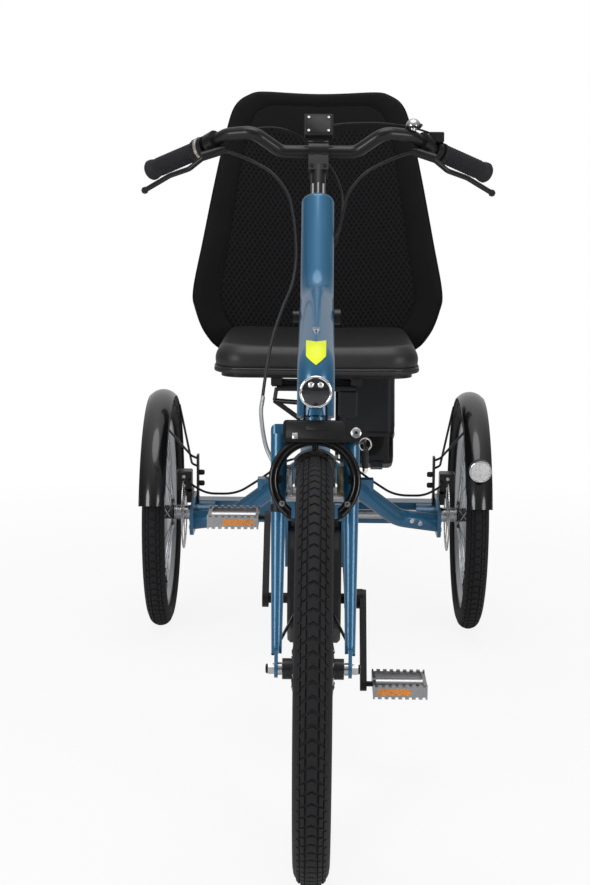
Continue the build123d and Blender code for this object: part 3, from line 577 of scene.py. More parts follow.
def goRound(name, bm, count, hub, look, body):
    values = {"Count": count, "Hub": tuple(hub), "Look": looks[look]}
    done = grow(name + "Pitch", meshOf(name + "Pitch", bm), ringRepeat, values)
    done.name = name
    piece = addObject(name, done)
    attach(piece, body)
    return piece


# A link follows a closed path round the two chain wheels
def pathTree():
    inputs = (("Geometry", "Geometry"), ("Link", "Object"), ("Count", "Int"), ("Look", "Material"))
    tree, start, onPoints = repeatTree("pathRepeat", inputs)
    make = tree.nodes.new
    curve = make("GeometryNodeMeshToCurve")
    sample = make("GeometryNodeResampleCurve")
    link = make("GeometryNodeObjectInfo")
    tangent = make("GeometryNodeInputTangent")
    align = make("FunctionNodeAlignEulerToVector")
    align.axis = "Y"
    align.pivot_axis = "X"
    join(tree, (
        (start.outputs["Geometry"], curve.inputs[0]),
        (curve.outputs[0], sample.inputs["Curve"]),
        (start.outputs["Count"], sample.inputs["Count"]),
        (sample.outputs[0], onPoints.inputs["Points"]),
        (start.outputs["Link"], link.inputs["Object"]),
        (link.outputs["Geometry"], onPoints.inputs["Instance"]),
        (tangent.outputs[0], align.inputs["Vector"]),
        (align.outputs[0], onPoints.inputs["Rotation"]),
    ))
    return tree


pathRepeat = pathTree()


def slabPlate(bm, outline, low, high):
    # outline in (y, z), thick along x
    skin(bm, [[bm.verts.new((x, y, z)) for y, z in outline] for x in (low, high)])


chain = {"x": 0.060, "ringY": 0.515, "ringZ": 0.274, "ringRadius": 0.076, "rearY": wheelbase,
         "rearZ": rearRadius, "rearRadius": 0.038,
         "pitch": 0.0127, "plate": 0.0009, "inner": 0.0016, "outer": 0.0027, "roller": 0.0038}


def chainPath():
    run = chain["rearY"] - chain["ringY"]
    drop = chain["rearZ"] - chain["ringZ"]
    heading = math.atan2(drop, run)
    spread = math.acos((chain["ringRadius"] - chain["rearRadius"]) / math.hypot(run, drop))
    points = []
    top, low = heading + spread, heading - spread
    for wheel, first, last, steps in (("rear", low, top, 16), ("ring", top, low + 2 * math.pi, 32)):
        radius = chain[wheel + "Radius"]
        for k in range(steps + 1):
            a = first + (last - first) * k / steps
            y = chain[wheel + "Y"] + radius * math.cos(a)
            points.append(at(chain["x"], y, chain[wheel + "Z"] + radius * math.sin(a)))
    return points


def capsule(length, half, waist, steps=5):
    outline = []
    for end in (1, -1):
        for k in range(steps):
            a = math.radians(-70 + 140 * k / (steps - 1))
            outline.append((end * (length / 2 + half * math.cos(a)), end * half * math.sin(a)))
        outline.append((0, end * waist))
    return outline


def buildChain():
    bm = bmesh.new()
    p = chain["pitch"]
    inner, outer = chain["inner"], chain["outer"]
    plate = capsule(p, 0.0042, 0.0028)
    for shift, gap in ((-p / 2, inner), (p / 2, outer)):
        for side in (-1, 1):
            x = side * gap
            slabPlate(bm, [(y + shift, z) for y, z in plate], x - chain["plate"] / 2, x + chain["plate"] / 2)
    for y in (-p, 0.0):
        turn(bm, Vector((-outer - 0.0006, y, 0)), (1, 0, 0), [(0.0019, 0), (0.0019, 2 * outer + 0.0012)], 8)
        turn(bm, Vector((-inner, y, 0)), (1, 0, 0), [(chain["roller"], 0), (chain["roller"], 2 * inner)], 10)
    link = addObject("chainLink", meshOf("chainLink", bm))
    points = chainPath()
    count = len(points)
    length = sum((b - a).length for a, b in zip(points, points[1:] + points[:1]))
    path = bpy.data.meshes.new("chainPath")
    path.from_pydata(points, [(k, (k + 1) % count) for k in range(count)], [])
    values = {"Link": link, "Count": round(length / (2 * p)), "Look": looks["oiledChain"]}
    done = grow("chainRun", path, pathRepeat, values)
    bpy.data.objects.remove(link)
    links = addObject("chainLinks", done)
    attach(links, "frame")
    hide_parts("chain")


buildChain()
print("chain done")

# Tyres: a carcass under rows of tread blocks; widths and depths in metres
tyres = {
    "front": {"node": "front_tyre", "body": "front_wheel", "outer": frontRadius, "half": 0.025,
              "bead": 0.2535, "pitches": 104},
    "rearLeft": {"node": "rear_tyre_left", "body": "rear_wheel_left", "outer": rearRadius, "half": 0.0235,
                 "bead": 0.203, "pitches": 88},
    "rearRight": {"node": "rear_tyre_right", "body": "rear_wheel_right", "outer": rearRadius, "half": 0.0235,
                  "bead": 0.203, "pitches": 88},
}
treadDepth = 0.0024


def arcPoint(a, b, c, t):
    # the circle through a, b and c, run from a (t = 0) to c (t = 1)
    ax, ay, bx, by, cx, cy = *a, *b, *c
    d = 2 * (ax * (by - cy) + bx * (cy - ay) + cx * (ay - by))
    aa, bb, cc = ax * ax + ay * ay, bx * bx + by * by, cx * cx + cy * cy
    ux = (aa * (by - cy) + bb * (cy - ay) + cc * (ay - by)) / d
    uy = (aa * (cx - bx) + bb * (ax - cx) + cc * (bx - ax)) / d
    r = math.hypot(ax - ux, ay - uy)
    first, last = math.atan2(ay - uy, ax - ux), math.atan2(cy - uy, cx - ux)
    turnBy = (last - first + math.pi) % (2 * math.pi) - math.pi
    angle = first + turnBy * t
    return ux + r * math.cos(angle), uy + r * math.sin(angle)


def buildTyre(name, spec):
    hub = sum(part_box(spec["node"]), Vector()) / 2
    outer, half, bead = spec["outer"] - treadDepth, spec["half"], spec["bead"]
    seat, lip = 0.0114, bead + 0.007
    edge, drop = 0.8 * half, 0.2 * (spec["outer"] - bead)
    shoulder = outer - drop
    right = [(seat, bead + 0.0001), (seat, lip)]
    right += [arcPoint((seat, lip), (half, (lip + shoulder) / 2), (edge, shoulder), k / 8) for k in range(1,
            9)]
    right += [arcPoint((edge, shoulder), (0, outer), (-edge, shoulder), k / 12) for k in range(1, 6)]
    section = right + [(0, outer)] + [(-x, r) for x, r in reversed(right)]

    def around(x, r, k, steps):
        a = 2 * math.pi * k / steps
        return hub + Vector((x, -r * math.sin(a), r * math.cos(a)))

    bm = bmesh.new()
    steps = 160
    rings = []
    for k in range(steps):
        rings.append([bm.verts.new(around(x, r, k, steps)) for x, r in section])
    for k in range(steps):
        low, high = rings[k], rings[(k + 1) % steps]
        for j in range(len(section)):
            n = (j + 1) % len(section)
            bm.faces.new((low[j], low[n], high[n], high[j]))
    carcass = finishPiece(name + "Carcass", bm, "tyreRubber", spec["body"], angle=60)
    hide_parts(spec["node"])
    bm = bmesh.new()
    mid = (lip + (spec["outer"] - drop)) / 2
    for side in (-1, 1):
        for r, x, wide in ((mid, half, 0.0006), (lip + 0.003, seat + 0.0062, 0.0009)):
            wire(bm, [around(side * x, r, k, 96) for k in range(96)], wide, 6, True)
    finishPiece(name + "SidewallRibs", bm, "tyreRubber", spec["body"])
    crown = (edge ** 2 + drop ** 2) / (2 * drop)
    centre = spec["outer"] - crown
    pitch = 2 * math.pi * spec["outer"] / spec["pitches"]
    wide = half / 0.025
    bm = bmesh.new()

    def block(s0, s1, cells, near, far, inset=0.0007):
        # a strip of cells across the crown from s0 to s1, its ends at near(s) and far(s) along the tread
        def vert(s, t, h):
            phi = s / crown
            r = centre + (crown + h) * math.cos(phi)
            a = t / spec["outer"]
            return bm.verts.new(((crown + h) * math.sin(phi), -r * math.sin(a), r * math.cos(a)))
        low, high = [], []
        for k in range(cells + 1):
            s = s0 + (s1 - s0) * k / cells
            sTop = s0 + inset + (s1 - s0 - 2 * inset) * k / cells
            low.append((vert(s, near(s), -treadDepth - 0.0006), vert(s, far(s), -treadDepth - 0.0006)))
            high.append((vert(sTop, near(s) + inset, 0), vert(sTop, far(s) - inset, 0)))
        for k in range(cells):
            bm.faces.new((high[k][0], high[k][1], high[k + 1][1], high[k + 1][0]))
            bm.faces.new((low[k][0], low[k][1], low[k + 1][1], low[k + 1][0]))
            bm.faces.new((low[k][0], low[k + 1][0], high[k + 1][0], high[k][0]))
            bm.faces.new((low[k][1], low[k + 1][1], high[k + 1][1], high[k][1]))
        for k in (0, cells):
            bm.faces.new((low[k][0], low[k][1], high[k][1], high[k][0]))

    block(-0.0072 * wide, 0.0072 * wide, 4, lambda s: 0.0012 + abs(s) * 0.5,
          lambda s: pitch - 0.0022 + abs(s) * 0.5)
    for side in (-1, 1):
        # an inner row, and an outer row that lags behind it and is shorter
        for first, last, lag, short in ((0.0092, 0.0164, 0.0, 0.0), (0.0174, 0.0250, pitch * 0.4, 0.0012)):
            left, right = sorted((side * (first * wide), side * (last * wide)))
            block(left, right, 2, lambda s: 0.003 + lag + abs(s) * 0.42,
                  lambda s: 0.003 + lag + abs(s) * 0.42 + pitch - 0.0026 - short)
    goRound(name + "Tread", bm, spec["pitches"], hub, "tyreRubber", spec["body"])


for name, spec in tyres.items():
    buildTyre(name, spec)
print("tyres done")


# Spoke nipples and a valve on each rim
wheels = {
    "front": {"hub": at(0, 0, frontRadius), "body": "front_wheel", "radius": 0.2355, "count": 36},
    "rearLeft": {"hub": at(-halfTrack, wheelbase, rearRadius), "body": "rear_wheel_left", "radius": 0.185,
                 "count": 32},
    "rearRight": {"hub": at(halfTrack, wheelbase, rearRadius), "body": "rear_wheel_right", "radius": 0.185,
                  "count": 32},
}
for name, spec in wheels.items():
    bm = bmesh.new()
    turn(bm, Vector((0, 0, spec["radius"] - 0.0105)), (0, 0, 1),
         [(0.0014, 0), (0.0018, 0.001), (0.0018, 0.009), (0.0026, 0.0105)], 8)
    goRound(name + "Nipples", bm, spec["count"], spec["hub"], "brushedSteel", spec["body"])
    bm = bmesh.new()
    lean = Matrix.Rotation(math.radians(200), 3, "X")
    down = lean @ Vector((0, 0, 1))
    turn(bm, spec["hub"] + down * (spec["radius"] + 0.001), -down,
         [(0.0042, 0), (0.0042, 0.002), (0.0029, 0.003), (0.0029, 0.022), (0.0036, 0.023), (0.0036, 0.033),
          (0.0026, 0.036)], 14)
    finishPiece(name + "Valve", bm, "plainCable", spec["body"])

# Cushion: a crowned vinyl shell on a moulded lip, dished for the rider and piped along its lower edge
cushion = {"y": 1.220, "width": 0.415, "depth": 0.400, "bottom": 0.599, "corner": 0.062, "steps": 96}


def cushionOutline(inset, count):
    w = cushion["width"] / 2 - inset
    d = cushion["depth"] / 2 - inset
    c = max(cushion["corner"] - inset, 0.012)
    corners = [(w - c, d - c, 0), (-(w - c), d - c, 90), (-(w - c), -(d - c), 180), (w - c, -(d - c), 270)]
    ring = []
    per = count // 4
    for index, (cx, cy, start) in enumerate(corners):
        for k in range(per // 2):
            a = math.radians(start + 90 * k / (per // 2))
            ring.append((cx + c * math.cos(a), cy + c * math.sin(a)))
        nx, ny, after = corners[(index + 1) % 4]
        ax, ay = cx + c * math.cos(math.radians(start + 90)), cy + c * math.sin(math.radians(start + 90))
        bx, by = nx + c * math.cos(math.radians(after)), ny + c * math.sin(math.radians(after))
        for k in range(per - per // 2):
            t = k / (per - per // 2)
            ring.append((ax + (bx - ax) * t, ay + (by - ay) * t))
    return ring


def cushionTop(x, y, rise):
    across = abs(x) / (cushion["width"] / 2)
    back = (y + cushion["depth"] / 2) / cushion["depth"]
    dish = 0.010 * (1 - min(1, across) ** 2) * (0.35 + 0.65 * math.sin(math.pi * min(1,
            max(0, back * 0.9 + 0.1))))
    return rise * (0.062 - dish + 0.004 * back)


def buildCushion():
    bm = bmesh.new()
    bottom = cushion["bottom"]
    rings = []
    profile = [(0.060, 0.0, 0), (0.008, 0.0, 0), (0.002, 0.001, 0), (0.0, 0.004, 0), (0.0, 0.009, 0),
               (0.004, 0.0105, 0),
               (0.0055, 0.012, 0), (0.004, 0.016, 0), (0.0025, 0.024, 0), (0.003, 0.033, 0), (0.006, 0.042,
                       0), (0.012, 0.050, 0),
               (0.020, 0, 0.955), (0.034, 0, 0.99), (0.056, 0, 1.0), (0.085, 0, 1.0), (0.12, 0, 1.0), (0.155,
                       0, 1.0), (0.185, 0, 1.0)]
    for inset, height, rise in profile:
        ring = []
        for x, y in cushionOutline(inset, cushion["steps"]):
            wave = 0.004 * math.cos(math.pi * x / cushion["width"])
            pull = wave * (1 if height > 0.011 and not rise else 0)
            sag = wave * (1 if y < 0 else 0.3)
            z = cushionTop(x, y, rise) if rise else height
            inward = pull * (1 if y < 0 else -1)
            dip = (sag if height > 0 and not rise else 0) * 0.5
            ring.append(bm.verts.new(at(x, cushion["y"] + y + inward, bottom + z - dip)))
        rings.append(ring)
    skin(bm, rings)
    piece = finishPiece("seatPad", bm, "seatVinyl", "frame", angle=70)
    soft = piece.modifiers.new("soft", "SUBSURF")
    soft.levels = soft.render_levels = 2
    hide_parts("seat_cushion")
    edge = [at(x, cushion["y"] + y,
               bottom + 0.0112 - 0.002 * math.cos(math.pi * x / cushion["width"]) * (1 if y < 0 else 0.3))
            for x, y in cushionOutline(0.003, cushion["steps"])]
    onePiece("seatPiping", "glossBlack", "frame", "seat_vinyl", wire, edge, 0.0024, 10, True)


buildCushion()
print("cushion done")

# Seat back in its own plane: across, up along the back, and depth; leaning back over the rear axle
seatBack = {"lean": 20.5, "footY": 1.428, "footZ": 0.640, "wing": 0.420, "thick": 0.034, "panel": 0.80,
            "half": [(0, 0.568), (0.118, 0.566), (0.160, 0.552), (0.190, 0.516), (0.210, 0.430),
                     (0.228, 0.330), (0.250, 0.190),
                     (0.267, 0.078), (0.262, 0.036), (0.240, -0.014), (0.200, -0.044), (0.100, -0.048)]}
leanSin, leanCos = math.sin(math.radians(seatBack["lean"])), math.cos(math.radians(seatBack["lean"]))


def backPoint(x, up, depth):
    # depth runs from the front face backwards, on the slab's round plan
    bow = math.sqrt(max(seatBack["wing"] ** 2 - x * x, 0)) - seatBack["wing"]
    y = bow + depth
    return at(x, seatBack["footY"] + y * leanCos + up * leanSin,
              seatBack["footZ"] + up * leanCos - y * leanSin)


def backOutline():
    corners = seatBack["half"] + [(-x, z) for x, z in reversed(seatBack["half"][1:])]
    loop = smoothPath([Vector((x, z, 0)) for x, z in corners], 8, True)
    return [(p.x, p.y) for p in loop]


def buildBack():
    loop = backOutline()
    low, high = 0.13, 0.42
    rows = [(1.0, 0.017), (0.997, 0.010), (0.985, 0.004), (0.96, 0.0), (0.92, -0.0025), (0.86, -0.002),
            (0.815, 0.001), (0.80, 0.0035),
            (0.785, 0.0015), (0.74, -0.001), (0.62, -0.003), (0.45, -0.004), (0.28, -0.004), (0.12, -0.004)]
    rear = [(0.12, 0.034), (0.5, 0.034), (0.80, 0.034), (0.93, 0.033), (0.98, 0.030), (0.997, 0.024)]
    bm = bmesh.new()
    layer = bm.loops.layers.uv.new("cloth")
    flat = {}

    def shrunk(x, z, scale):
        middle = min(max(z, low), high)
        return x * scale, middle + (z - middle) * scale

    def ring(scale, depth):
        verts = []
        for x, z in loop:
            px, pz = shrunk(x, z, scale)
            v = bm.verts.new(backPoint(px, pz, depth))
            flat[v] = (px, pz)
            verts.append(v)
        return verts

    rings = [ring(s, d) for s, d in rear] + [ring(s, d) for s, d in rows]
    count = len(loop)
    for index, (first, second) in enumerate(zip(rings, rings[1:])):
        for k in range(count):
            n = (k + 1) % count
            face = bm.faces.new((first[k], first[n], second[n], second[k]))
            front = index >= len(rear) + 7
            up = sum(flat[v][1] for v in face.verts) / 4
            face.material_index = 1 if front and up < 0.47 else 0
    for cap in (rings[0], rings[-1]):
        # one face over the narrow ring left in the middle
        face = bm.faces.new(cap)
        face.material_index = 1 if cap is rings[-1] else 0
    for face in bm.faces:
        for corner in face.loops:
            corner[layer].uv = flat[corner.vert]
    bmesh.ops.triangulate(bm, faces=[f for f in bm.faces if len(f.verts) > 4])
    piece = finishPiece("seatBackPad", bm, ["coverCloth", "spacerMesh"], "frame", angle=80)
    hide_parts("seat_back")
    bm = bmesh.new()
    tape = [backPoint(x * 1.001, z, 0.017) for x, z in loop]
    wire(bm, tape, 0.0048, 10, True)
    wire(bm, [backPoint(*shrunk(x, z, 0.80), 0.0022) for x, z in loop], 0.0016, 8, True)
    finishPiece("seatBackTape", bm, "coverClothTape", "frame")


buildBack()
print("seat back done")


# Small pieces: seats on a CAD node's own surface, found along a line
surfaces = {}


def seatOn(node, start, direction):
    if node not in surfaces:
        mesh = nodes[node].data
        surfaces[node] = BVHTree.FromPolygons([v.co for v in mesh.vertices],
                [tuple(p.vertices) for p in mesh.polygons])
    place, normal, index, distance = surfaces[node].ray_cast(Vector(start), Vector(direction).normalized())
    return (place, normal) if place else (None, None)


def circle(centre, direction, radius, count=40):
    x, y, z = basis(direction)
    return [Vector(centre) + roundAt(x, y, k, count) * radius for k in range(count)]


# Headlamp: chrome bezel, dark lens with two light spots and a dark divider
lampFace = {"centre": (0, 0.044, 0.696), "radius": 0.0215, "bezel": 0.0021}


def buildLamp():
    centre = at(*lampFace["centre"])
    ahead = Vector((0, -1, 0))
    rim = circle(centre + ahead * 0.001, ahead, lampFace["radius"], 48)
    onePiece("lampBezel", "chromePlate", "steering", "chrome", wire, rim, lampFace["bezel"], 12, True)
    dome = [(0.0200, 0), (0.0192, 0.0016), (0.012, 0.0034), (0.005, 0.0042), (0, 0.0044)]
    onePiece("lampLens", "lampGlass", "steering", "lamp_glass", turn, centre, ahead, dome, 40)
    bm = bmesh.new()
    for x in (-0.0068, 0.0068):
        spot = centre + Vector((x, 0, 0.0105)) + ahead * 0.0014
        turn(bm, spot, ahead, [(0.0044, 0), (0.0044, 0.0020), (0.0030, 0.003), (0, 0.0033)], 18)
    finishPiece("lampSpots", bm, "silverLens", "steering")
    band = [centre + Vector((x, 0, 0.0042)) + ahead * d
            for x, d in ((-0.0172, 0.0022), (-0.006, 0.0044), (0.006, 0.0044), (0.0172, 0.0022))]
    onePiece("lampDivider", "satinBlack", "steering", "black_plastic", wire, band, 0.0017, 8)
    bm = bmesh.new()
    back = [(0.013, -0.004), (0.0145, 0), (0.012, 0.004), (0.004, 0.006), (0.003, 0.012), (0, 0.013)]
    turn(bm, centre - ahead * 0.050, -ahead, back, 24)
    for height in (0.010, 0.018, 0.026):
        wire(bm, circle(centre - ahead * height, ahead, 0.0222 - height * 0.151, 40), 0.0009, 6, True)
    finishPiece("lampBody", bm, "blackPlastic", "steering")


buildLamp()

# Ring lock: two rounded bands on the ring, silver button, key barrel and a bare name panel
lock = {"y": 0.045, "z": 0.568, "lean": math.atan2(97 - 6, 626 - 324), "front": 0.013, "ring": 0.007}


def lockPoint(u, v, w):
    s, c = math.sin(lock["lean"]), math.cos(lock["lean"])
    return at(u, lock["y"] + v * s - w * c, lock["z"] + v * c + w * s)


def plateOn(bm, where, half, depth, corner, steps=4):
    # a rounded plate: where(u, v, w) gives the place, half is (across, up)
    outline = []
    for su, sv, start in ((1, 1, 0), (-1, 1, 90), (-1, -1, 180), (1, -1, 270)):
        for k in range(steps + 1):
            a = math.radians(start + 90 * k / steps)
            outline.append((su * (half[0] - corner) + corner * math.cos(a),
                            sv * (half[1] - corner) + corner * math.sin(a)))
    edge = min(corner, depth) * 0.5
    rings = []
    for grow, w in ((0, 0), (0, depth - edge), (-edge, depth)):
        shareU, shareV = 1 + grow / half[0], 1 + grow / half[1]
        rings.append([bm.verts.new(where(u * shareU, v * shareV, w)) for u, v in outline])
    skin(bm, rings)


def buildLock():
    ahead = lockPoint(0, 0, 1) - lockPoint(0, 0, 0)
    bm = bmesh.new()
    for radius, wide in ((0.0555, 0.0026), (0.0622, 0.0026)):
        arc = []
        for k in range(49):
            a = math.radians(-52 + 284 * k / 48)
            arc.append(lockPoint(radius * math.cos(a), radius * math.sin(a), lock["ring"] + 0.0004))
        wire(bm, arc, wide, 10)
    finishPiece("lockBands", bm, "glossBlack", "steering")
    bm = bmesh.new()
    plateOn(bm, lambda u, v, w: lockPoint(u, 0.0705 + v, lock["front"] - 0.0005 + w), (0.043, 0.0138),
            0.0022, 0.006)
    plateOn(bm, lambda u, v, w: lockPoint(0.002 + u, 0.0755 + v, lock["front"] + 0.0016 + w),
            (0.016, 0.0052), 0.0008, 0.002)
    finishPiece("lockFace", bm, "blackPlastic", "steering")
    bm = bmesh.new()
    plateOn(bm, lambda u, v, w: lockPoint(-0.029 + u, 0.0625 + v, lock["front"] + 0.0015 + w),
            (0.0042, 0.0042), 0.0016, 0.001)
    turn(bm, lockPoint(0.058, 0.068, lock["front"] - 0.001), ahead,
         [(0.0075, 0), (0.0075, 0.0022), (0.0062, 0.003), (0.0022, 0.003), (0.0020, 0.0005)], 24)
    finishPiece("lockButton", bm, "brushedSteel", "steering")
    screws("lockScrews", "steering", "brushedSteel",
           [(lockPoint(side * 0.0465, -0.034, lock["ring"]), ahead, 0.0046, 0.003) for side in (-1, 1)])


buildLock()

# Column: yellow shield without lettering, and the bolt under it
shield = {"width": 0.0300, "steps": 10, "rows": 16, "eye": (0.003, -2.357, 1.018), "plane": 0.30,
          "top": 0.7420, "bottom": 0.7040,
          "bolt": 0.7590, "across": -0.0005}


def buildShield():
    eye = at(*shield["eye"])
    bm = bmesh.new()
    rows = []
    for r in range(shield["rows"] + 1):
        v = r / shield["rows"]
        half = shield["width"] / 2 * (1.0 if v < 0.62 else max(0.03, 1 - ((v - 0.62) / 0.38) ** 1.3))
        row = []
        for c in range(shield["steps"] + 1):
            u = -1 + 2 * c / shield["steps"]
            notch = 0.0022 * (1 - abs(u)) if r == 0 else 0.0
            target = at(shield["across"] + u * half, shield["plane"],
                        shield["top"] + (shield["bottom"] - shield["top"]) * v - notch)
            place, normal = seatOn("steering_column", eye, target - eye)
            row.append(bm.verts.new(place + normal * 0.0008) if place else None)
        rows.append(row)
    for low, high in zip(rows, rows[1:]):
        for c in range(shield["steps"]):
            corners = (low[c], low[c + 1], high[c + 1], high[c])
            if all(corners):
                bm.faces.new(corners)
    bm.normal_update()
    solid = bmesh.ops.extrude_face_region(bm, geom=list(bm.faces))
    for v in [g for g in solid["geom"] if isinstance(g, bmesh.types.BMVert)]:
        v.co -= v.normal * 0.0007
    finishPiece("columnShield", bm, "badgeYellow", "steering")


buildShield()


quill = {"foot": (0, 0.572, 0.955), "top": (0, 0.622, 1.034)}


def buildColumnBits():
    eye = at(*shield["eye"])
    place, normal = seatOn("steering_column", eye, at(shield["across"], shield["plane"],
            shield["bolt"]) - eye)
    if place:
        screws("columnScrew", "steering", "brushedSteel", [(place, normal, 0.0062, 0.0035)])
    # three bright bars stand in front of the quill, over the column's end
    foot = at(*quill["foot"])
    run = (at(*quill["top"]) - foot).normalized()
    front = Vector((0, -run.z, run.y))
    bm = bmesh.new()
    for x in (-0.0088, 0.0, 0.0088):
        out = math.sqrt(0.0136 ** 2 - x ** 2)
        low = foot + Vector((x, 0, 0)) + front * out
        wire(bm, [low + run * 0.002, low + run * 0.024], 0.0017, 8)
    finishPiece("quillBars", bm, "brushedSteel", "steering")
    collar = circle(foot + run * 0.001, run, 0.0142, 36)
    onePiece("quillCollar", "satinBlack", "steering", "black_metal", wire, collar, 0.0022, 8, True)
    # four screws in the stem's faceplate
    face, rise = leaning(30)
    centre = at(0, 0.614, 1.014)
    places = [(centre + Vector((side * 0.011, 0, 0)) + rise * up + face * 0.017, face, 0.0036, 0.002)
              for side in (-1, 1) for up in (-0.012, 0.012)]
    screws("stemScrews", "steering", "plainCable", places)


buildColumnBits()


# Display: a bezel and four bright screws on its back, and its screen towards the rider
def buildDisplay():
    face, rise = leaning(30)
    centre = at(0, 0.626, 1.078)
    onePiece("displayBezel", "blackPlastic", "steering", "black_plastic", plateOn,
             planeAt(centre, rise, face, 0.0056), (0.0215, 0.0175), 0.0016, 0.004)
    places = [(centre + Vector((x, 0, 0)) + rise * z + face * 0.0072, face, 0.0024, 0.0014)
              for x in (-0.017, 0.017) for z in (-0.013, 0.013)]
    screws("displayScrews", "steering", "brushedSteel", places)
    onePiece("displayScreen", "lampGlass", "steering", "black_plastic", plateOn,
             planeAt(centre, rise, -face, 0.0056), (0.0220, 0.0180), 0.0012, 0.003)


buildDisplay()

# Grips: raised rings between the flared ends; a cream collar inside the left one
gripLine = {"inner": (0.203, 0.622 + 0.038, 1.034 + 0.005), "outer": (0.296, 0.622 + 0.104, 1.034 - 0.033),
            "start": 0.0125, "length": 0.112,
            "rings": 13}


def buildGrips():
    bm = bmesh.new()
    for side in (-1, 1):
        inner = at(side * gripLine["inner"][0], *gripLine["inner"][1:])
        outer = at(side * gripLine["outer"][0], *gripLine["outer"][1:])
        run = (outer - inner).normalized()
        for k in range(gripLine["rings"]):
            along = gripLine["start"] + 0.012 + (gripLine["length"] - 0.036) * k / (gripLine["rings"] - 1)
            wire(bm, circle(inner + run * along, run, 0.0154 + 0.0004 * k / gripLine["rings"], 32), 0.0011,
                 6, True)
    finishPiece("gripRings", bm, "gripRubber", "steering")
    inner = at(-gripLine["inner"][0], *gripLine["inner"][1:])
    run = (at(-gripLine["outer"][0], *gripLine["outer"][1:]) - inner).normalized()
    collar = [(0.0192, 0), (0.0206, 0.001), (0.0206, 0.0055), (0.0192, 0.0065)]
    onePiece("shifterCollar", "creamSilver", "steering", "alloy", turn, inner - run * 0.0020, run, collar, 32)
    bm = bmesh.new()
    x, y, z = basis(run)
    for k in range(16):
        spoke = roundAt(x, y, k, 16)
        wire(bm, [inner + run * 0.0050 + spoke * 0.019, inner + run * 0.0125 + spoke * 0.019], 0.0009, 6)
    finishPiece("shifterRibs", bm, "gripRubber", "steering")


buildGrips()


# Bell: a dark foot and the striker's lever
def buildBell():
    top = at(0.162, 0.626, 1.079)
    bm = bmesh.new()
    turn(bm, top - Vector((0, 0, 0.0030)), (0, 0, 1),
         [(0.0132, 0), (0.0140, 0.001), (0.0140, 0.0028), (0.0132, 0.0036)], 32)
    wire(bm, [top + Vector((0.004, -0.012, -0.002)), top + Vector((0.010, -0.022, -0.003)),
              top + Vector((0.012, -0.027, 0.002))], [0.0016, 0.0016, 0.0030], 8)
    finishPiece("bellFoot", bm, "blackPlastic", "steering")


buildBell()

# Front mudguard: a light lip round its front edge
guardLip = {"angle": 21, "radius": 0.321, "half": 0.031, "drop": 0.016}


def buildGuards():
    a = math.radians(guardLip["angle"])
    foot = guardLip["radius"] - guardLip["drop"]
    ends = (-guardLip["half"], foot), (0, guardLip["radius"]), (guardLip["half"], foot)
    arc = []
    for k in range(21):
        x, r = arcPoint(*ends, k / 20)
        arc.append(at(x, (r - 0.001) * math.sin(a), frontRadius + (r - 0.001) * math.cos(a)))
    onePiece("guardLip", "greyTrim", "steering", "alloy", wire, arc, 0.0019, 8)
    bead = 0.2585
    bm = bmesh.new()
    for side in (-1, 1):
        for edge in (-1, 1):
            rim = []
            for k in range(61):
                a = math.radians(100 - 176 * k / 60)
                rim.append(at(side * halfTrack + edge * 0.0262, wheelbase + bead * math.sin(a),
                              rearRadius + bead * math.cos(a)))
            wire(bm, rim, 0.0017, 8)
    finishPiece("guardBeads", bm, "glossBlack", "frame")


buildGuards()


# Round reflector on the right mudguard, and the rest of the rear hardware
def buildRear():
    ahead = Vector((0, -13, -2)).normalized()
    centre = at(halfTrack, 1.0938, 0.3937)
    dome = [(0.0205, 0), (0.0202, 0.0014), (0.012, 0.0026), (0, 0.0030)]
    onePiece("reflectorLens", "silverLens", "frame", "reflector", turn, centre - ahead * 0.0004, ahead, dome,
             40)
    rim = circle(centre + ahead * 0.0004, ahead, 0.0216, 48)
    onePiece("reflectorRim", "brushedSteel", "frame", "chrome", wire, rim, 0.0016, 8, True)
    places = []
    for side in (-1, 1):
        for z in (0.314, 0.334):
            places.append((at(side * 0.289, 1.331, z), (0, -1, 0), 0.0042, 0.003))
        for z in (0.262, 0.236):
            places.append((at(side * 0.270, 1.262, z), (side, 0, 0), 0.0048, 0.003))
    for x, z in ((0.206, 0.262), (0.224, 0.256)):
        place, normal = seatOn("main_frame", at(x, 0.9, z), (0, 1, 0))
        if place:
            places.append((place, normal, 0.0056, 0.0036))
    screws("rearScrews", "frame", "brushedSteel", places)
    # the battery's glossy end cap, two seam bands, a side lock, and a grey strip down its right edge that is
    # a painted highlight
    face, up = leaning(20.5)
    deep = -face
    foot = at(0.113, 1.422, 0.346)
    onePiece("batteryCap", "glossBlack", "frame", "black_plastic", plateOn,
             planeAt(foot, deep, up, 0.016), (0.0595, 0.0355), 0.050, 0.014, 6)
    bm = bmesh.new()
    for height, half in ((0.0685, (0.0626, 0.0386)), (0.352, (0.0624, 0.0384))):
        plateOn(bm, planeAt(foot, deep, up, height), half, 0.0035, 0.016, 6)
    finishPiece("batterySeams", bm, "satinBlack", "frame")
    # a grey wire down the battery's right edge: a painted highlight where the rounded edge catches the light
    line = [foot + Vector((0.0605, 0, 0)) - deep * 0.0225 + up * h for h in (0.085, 0.345)]
    onePiece("batteryEdge", "greyTrim", "frame", "alloy", wire, line, 0.0022, 8)
    barrel = [(0.009, 0), (0.009, 0.0016), (0.0078, 0.0022), (0.0028, 0.0022), (0.0025, 0.0006)]
    onePiece("batteryLock", "brushedSteel", "frame", "steel", turn,
             foot + Vector((0.0615, 0, 0)) + up * 0.20, (1, 0, 0), barrel, 24)


buildRear()


